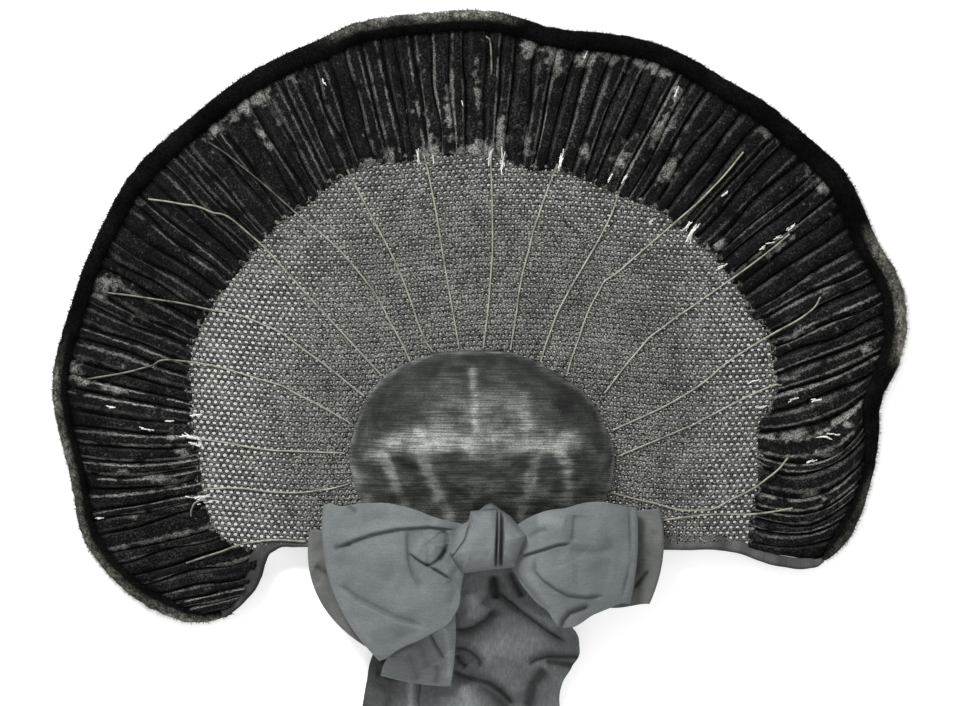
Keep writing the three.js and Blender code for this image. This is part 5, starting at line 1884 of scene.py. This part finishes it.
LEFT_CREASES = creases((
    # depth, width, lift, painted shading (below zero a painted highlight), places
    (1.1, 0.14, 1.1, 0.75, (-14.6, -7.8), (-13.7, -7.5), (-12.5, -7), (-10.7, -6.4), (-8.2, -5.9),
     (-5.2, -5.7), (-2.5, -6)),
    (0.9, 0.3, 0, 0.6, (-14.7, -7.9), (-13.9, -7.7), (-12.9, -7.3)),
    (1.0, 0.22, 0, 0.5, (-13.3, -3.5), (-12.9, -3.9), (-12.4, -4.3)),
    (0.9, 0.2, -0.6, 0.4, (-7.4, -6), (-7.3, -7.5), (-7.2, -9), (-6.8, -10.6), (-5.8, -11.9)),
    (1.3, 0.12, 0.9, 0.95, (-7.3, -8.2), (-6.4, -8.9), (-5.4, -9.5), (-4.4, -10), (-3, -10.9)),
    (1.6, 0.13, -0.8, 1.0, (-5.7, -9.4), (-5.1, -9.5), (-4.4, -9.1), (-3.9, -8.5), (-3.5, -7.8)),
    (1.5, 0.26, 0, 1.1, (-4.2, -9.1), (-3.6, -8.2), (-3.3, -7.2)),
    (0.9, 0.22, -0.5, 0.6, (-3.3, -7.4), (-3.4, -6.5), (-3.9, -5.9)),
    (-0.4, 0.4, 0, -0.15, (-4.9, -6.4), (-4.7, -7.6), (-5.2, -8.6)),
    (0.9, 0.28, -0.8, 0.4, (-14.2, -11.5), (-12.2, -13), (-8.5, -14.8), (-5.7, -15.7)),
    (1.1, 1.5, 0, 0.1, (-14.6, -9.6), (-11.5, -9.9), (-8.3, -10.9)),
    (0.9, 0.5, 0, 0.25, (-3.3, -10.9), (-2.6, -12), (-3.2, -13.6)),
    (0.7, 0.7, 0, 0.1, (-12, -4.9), (-8, -4.7), (-4.5, -5.2)),
    (0.6, 0.8, 0, 0.15, (-11.2, -17), (-9, -17), (-6.2, -15.8)),
))
RIGHT_CREASES = creases((
    # depth, width, lift, painted shading (below zero a painted highlight), places
    (1.2, 0.14, 0.8, 0.6, (3.7, -8.7), (5.3, -8.2), (6.6, -7.8), (7.5, -7.5), (8.9, -7.3)),
    (0.6, 0.3, -0.5, 0.2, (9.2, -4.4), (9.1, -6), (9, -7.2)),
    (0.9, 0.6, 0, 0.35, (8.6, -7.7), (9.8, -8.1), (11.8, -8), (13.5, -7.4)),
    (1.0, 0.18, 0.8, 0.4, (5.9, -8.6), (5.3, -9.2), (5.3, -10.1), (6.1, -11), (7.4, -11.9), (8.6, -12.5),
     (10.3, -12.7), (12.3, -12.5)),
    (1.6, 0.3, 0, 0.9, (7.9, -16), (8.2, -15), (8.8, -14.3), (10.8, -13.6)),
    (0.8, 0.3, 0, 0.3, (3, -10), (4.8, -12), (6.8, -14.4)),
    (0.9, 0.3, 0, 0.3, (4.6, -6.8), (5.6, -6.2), (6.6, -5.9)),
    (0.6, 0.14, 0, 0.4, (14.7, -3.6), (14.9, -9), (14, -12.8)),
    (0.8, 1.2, 0, 0.08, (9, -10.2), (11, -10), (13, -10.4)),
    (-0.5, 1.2, 0, -0.85, (5.4, -5.1), (7, -5), (8.4, -5.4)),
    (-0.4, 0.7, 0, -0.25, (4.4, -10.2), (5.6, -11.8), (7, -13.6)),
))
LEFT_BACK_CREASES = creases((
    # depth, width, lift, painted shading (below zero a painted highlight), places
    (1.2, 0.4, 0, 0.75, (-16.6, -9.6), (-15.6, -10.2), (-14.7, -10.7)),
    (0.8, 0.6, 0, 0.35, (-17.0, -10.6), (-16.0, -11.2)),
))
RIGHT_BACK_CREASES = creases((
    # depth, width, lift, painted shading (below zero a painted highlight), places
    (1.2, 0.2, 0, 1.0, (15.2, -11.8), (15.9, -10.9), (16.7, -10.1)),
    (0.8, 0.7, 0, 0.45, (15.4, -4.6), (15.3, -8.0), (15.0, -11.0)),
    (0.6, 0.5, 0, 0.15, (17.3, -6.0), (16.6, -9.0)),
))
CENTRE_CREASES = creases((
    # depth, width, lift, painted shading (below zero a painted highlight), places
    (2.4, 0.42, 0, 1.5, (1.2, -10.5), (1.3, -11.8), (1.5, -13)),
    (1.7, 0.36, 0.9, 1.35, (1.5, -12), (2.5, -13), (4, -14.2), (5.3, -15.2), (6.8, -16.3), (8.6, -17.4)),
    (1.0, 0.4, -0.5, 0.6, (1.1, -10.7), (0.8, -12.2), (0, -13.6)),
    (1.7, 0.42, 0.8, 1.4, (-2.9, -16), (-1.9, -16.1), (-0.7, -15.8), (0.5, -15), (1.5, -13.9)),
    (1.3, 0.4, 0.6, 1.1, (-3, -18), (-2, -17.9), (-1, -18.3), (-0.2, -19.1), (-0.1, -20)),
    (1.2, 0.6, 0, 1.2, (-2.5, -18.5), (-2.2, -19.2), (-1.5, -19.8)),
    (1.8, 0.55, 0.8, 1.5, (-3.2, -20), (-2, -20.7), (-0.6, -21.1), (0.7, -21.4), (2, -22.3), (3.4, -23.8)),
    (0.8, 1.1, 0, 1.0, (-0.6, -21.6), (0.8, -22.4), (2.2, -23.6), (3.2, -24.6)),
    (1.2, 0.45, 0, 1.25, (4.5, -19.8), (5.4, -19.1), (6.5, -18.8), (7.8, -18.8), (10.2, -18.8)),
    (0.8, 0.7, 0, 1.4, (6.3, -19.2), (7.8, -19.4), (10.2, -19.9)),
    (1.4, 0.42, 0, 1.5, (2.8, -10.1), (3.4, -11.4), (4.2, -12.8)),
    (0.4, 1.5, 0, 1.3, (6.6, -19.8), (5.2, -21.4), (4.6, -24.2)),
    (0.6, 0.9, 0, 0.3, (-2.6, -12.4), (-1.8, -13.6), (-2, -14.8)),
    (-0.7, 1.0, 0, -0.8, (-1.2, -12.2), (-0.8, -13.6), (-1.2, -15)),
    (-1.0, 1.1, 0, -0.3, (1.8, -14.5), (2.3, -17), (1.8, -19.2)),
    (-0.6, 0.7, 0, -0.3, (-1.2, -17), (0, -17.8), (1, -19.2)),
    (-0.5, 1.2, 0, -1.0, (-2, -21.6), (-1.4, -22.8), (-0.8, -24.6)),
    (-0.6, 0.6, 0, -0.35, (3.8, -13.6), (5.4, -14.6), (7.8, -15.8)),
))
LEFT_TAIL_CREASES = creases((
    # depth, width, lift, painted shading (below zero a painted highlight), places
    # A strong painted highlight on the strip of this tail that shows past the others.
    (-0.5, 0.75, 0, -7.0, (-7.1, -19.6), (-7.1, -27.5)),
    (1.2, 0.5, 0, 0.7, (-10.6, -20.3), (-7.8, -20.6)),
    (0.9, 0.4, 0, 0.3, (-10.5, -21.5), (-9.0, -22.6), (-9.4, -24.4)),
    (1.2, 0.5, 0, 0.7, (-10.6, -17.4), (-9.6, -19.0), (-8.6, -19.8)),
))
SHORT_CREASES = creases((
    # depth, width, lift, painted shading (below zero a painted highlight), places
    (1.4, 0.22, 0.8, 0.8, (-5.2, -16.2), (-4.6, -17.4), (-3.7, -18.9)),
    (1.2, 0.35, 0, 0.75, (-9.6, -18.6), (-7.8, -17.6), (-5.4, -16.4)),
    (0.8, 0.4, 0, 0.25, (-7.4, -18.2), (-6.8, -19.6), (-6.4, -21.0)),
    (1.0, 0.3, 0, 0.45, (-4.6, -19.4), (-4.4, -20.6), (-4.7, -21.5)),
    (-0.5, 0.55, 0, -0.7, (-4.5, -15.2), (-3.5, -16.2), (-3.2, -18.5), (-3.3, -21.2)),
    (0.5, 0.9, 0, 0.35, (-6.4, -17), (-5.8, -18.6), (-5.2, -19.8)),
))


def build_bow(form: WheelForm) -> None:
    """Makes the bow: knot, loops and tails.

    Args:
        form: The wheel's form, whose steps the bow shares.
    """
    Knot(form).build()
    RibbonLoop(form, "silk_loop_left", "bow_loop_left", LEFT_LOOP, LEFT_CREASES).build()
    RibbonLoop(form, "silk_loop_right", "bow_loop_right", RIGHT_LOOP, RIGHT_CREASES, sheen=0.34).build()
    RibbonLoop(form, "silk_back_loop_left", "bow_back_loop_left", LEFT_BACK_LOOP, LEFT_BACK_CREASES,
               SHADED_BACK_SILK, across=70).build()
    RibbonLoop(form, "silk_back_loop_right", "bow_back_loop_right", RIGHT_BACK_LOOP, RIGHT_BACK_CREASES,
               SHADED_BACK_SILK, across=70).build()
    # The short tail's high sheen is painted light, against the shade that the left loop casts on it.
    RibbonLoop(form, "silk_tail_short", "bow_tail_short", SHORT_TAIL, SHORT_CREASES, base=0.0, rise=17.4 * MM,
               across=90, sheen=0.8).build()
    RibbonTail(form, "moire_tail_centre", "bow_tail_centre", CENTRE_TAIL, CENTRE_CREASES).build()
    RibbonTail(form, "moire_tail_left", "bow_tail_left", LEFT_TAIL, LEFT_TAIL_CREASES, SHADED_MOIRE,
               across=50).build()


@dataclass
class Studio:
    """The pale floor, the soft light and the camera straight above."""

    distance: float = 4.0
    sensor: float = 36.0
    half_floor: float = 3.0
    floor_level: float = -0.2 * MM
    frame_px: tuple[int, int] = (960, 706)
    metres_per_px: float = 0.468 * MM
    middle_px: Pair = (479.5, 364.0)

    def build(self) -> None:
        """Makes the floor, the lights and the camera."""
        scene = bpy.context.scene
        scene.view_settings.view_transform = "Standard"
        corners = self.half_floor * np.array([(-1, -1, 0), (1, -1, 0), (1, 1, 0), (-1, 1, 0)], float)
        floor = make_object("floor", corners + [0, 0, self.floor_level], [(0, 1, 2, 3)])
        paper = bpy.data.materials.new("pale_paper")
        paper.use_nodes = True
        nodes = NodeTree(paper.node_tree)
        surface = nodes.add("ShaderNodeBsdfPrincipled", {"Base Color": (0.86, 0.86, 0.86, 1),
                                                         "Roughness": 0.9, "Specular IOR Level": 0.1,
                                                         "Emission Color": (1, 1, 1, 1),
                                                         "Emission Strength": 0.5})
        nodes.add("ShaderNodeOutputMaterial", {"Surface": surface.outputs[0]})
        floor.data.materials.append(paper)
        world = bpy.data.worlds.new("soft_sky")
        scene.world = world
        world.use_nodes = True
        sky = NodeTree(world.node_tree)
        back = sky.add("ShaderNodeBackground", {"Color": (1, 1, 1, 1), "Strength": 0.62})
        sky.add("ShaderNodeOutputWorld", {"Surface": back.outputs[0]})
        self.lamp("soft_key", (-0.7, 1.2, 1.3), 42.0, 0.6)
        self.lamp("soft_fill", (1.2, -0.6, 1.8), 6.0, 1.4)
        self.camera()

    def lamp(self, name: str, place: tuple[float, float, float], power: float, size: float) -> None:
        """Adds a soft lamp that looks at the middle of the bonnet.

        Args:
            name: The lamp's name.
            place: Where it hangs, in metres.
            power: Its power, in watts.
            size: The length of its sides, in metres.
        """
        light = bpy.data.lights.new(name, "AREA")
        light.energy = power
        light.size = size
        lamp = bpy.data.objects.new(name, light)
        lamp.location = place
        lamp.rotation_euler = Vector(place).to_track_quat("Z", "Y").to_euler()
        bpy.context.scene.collection.objects.link(lamp)

    def camera(self) -> None:
        """Sets the camera straight above, with the photograph's framing."""
        data = bpy.data.cameras.new("above")
        wide, tall = self.frame_px
        data.sensor_width = self.sensor
        data.lens = self.sensor * self.distance / (wide * self.metres_per_px)
        camera = bpy.data.objects.new("above", data)
        x = (wide / 2 - self.middle_px[0]) * self.metres_per_px
        y = (self.middle_px[1] - tall / 2) * self.metres_per_px
        camera.location = (x, y, self.distance)
        bpy.context.scene.collection.objects.link(camera)
        bpy.context.scene.camera = camera


def main() -> None:
    """Builds the bonnet and its setting."""
    logging.basicConfig(level=logging.INFO, format="%(name)s %(message)s")
    form = WheelForm.from_frame()
    Studio().build()
    RimRoll(form).build()
    GatheredBand(form).build()
    Crown(form).build()
    WheelNet(form).build()
    HemBinding(form).build()
    Wires(form).build()
    Frays(form).build()
    build_bow(form)
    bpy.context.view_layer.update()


if __name__ == "__main__":
    main()
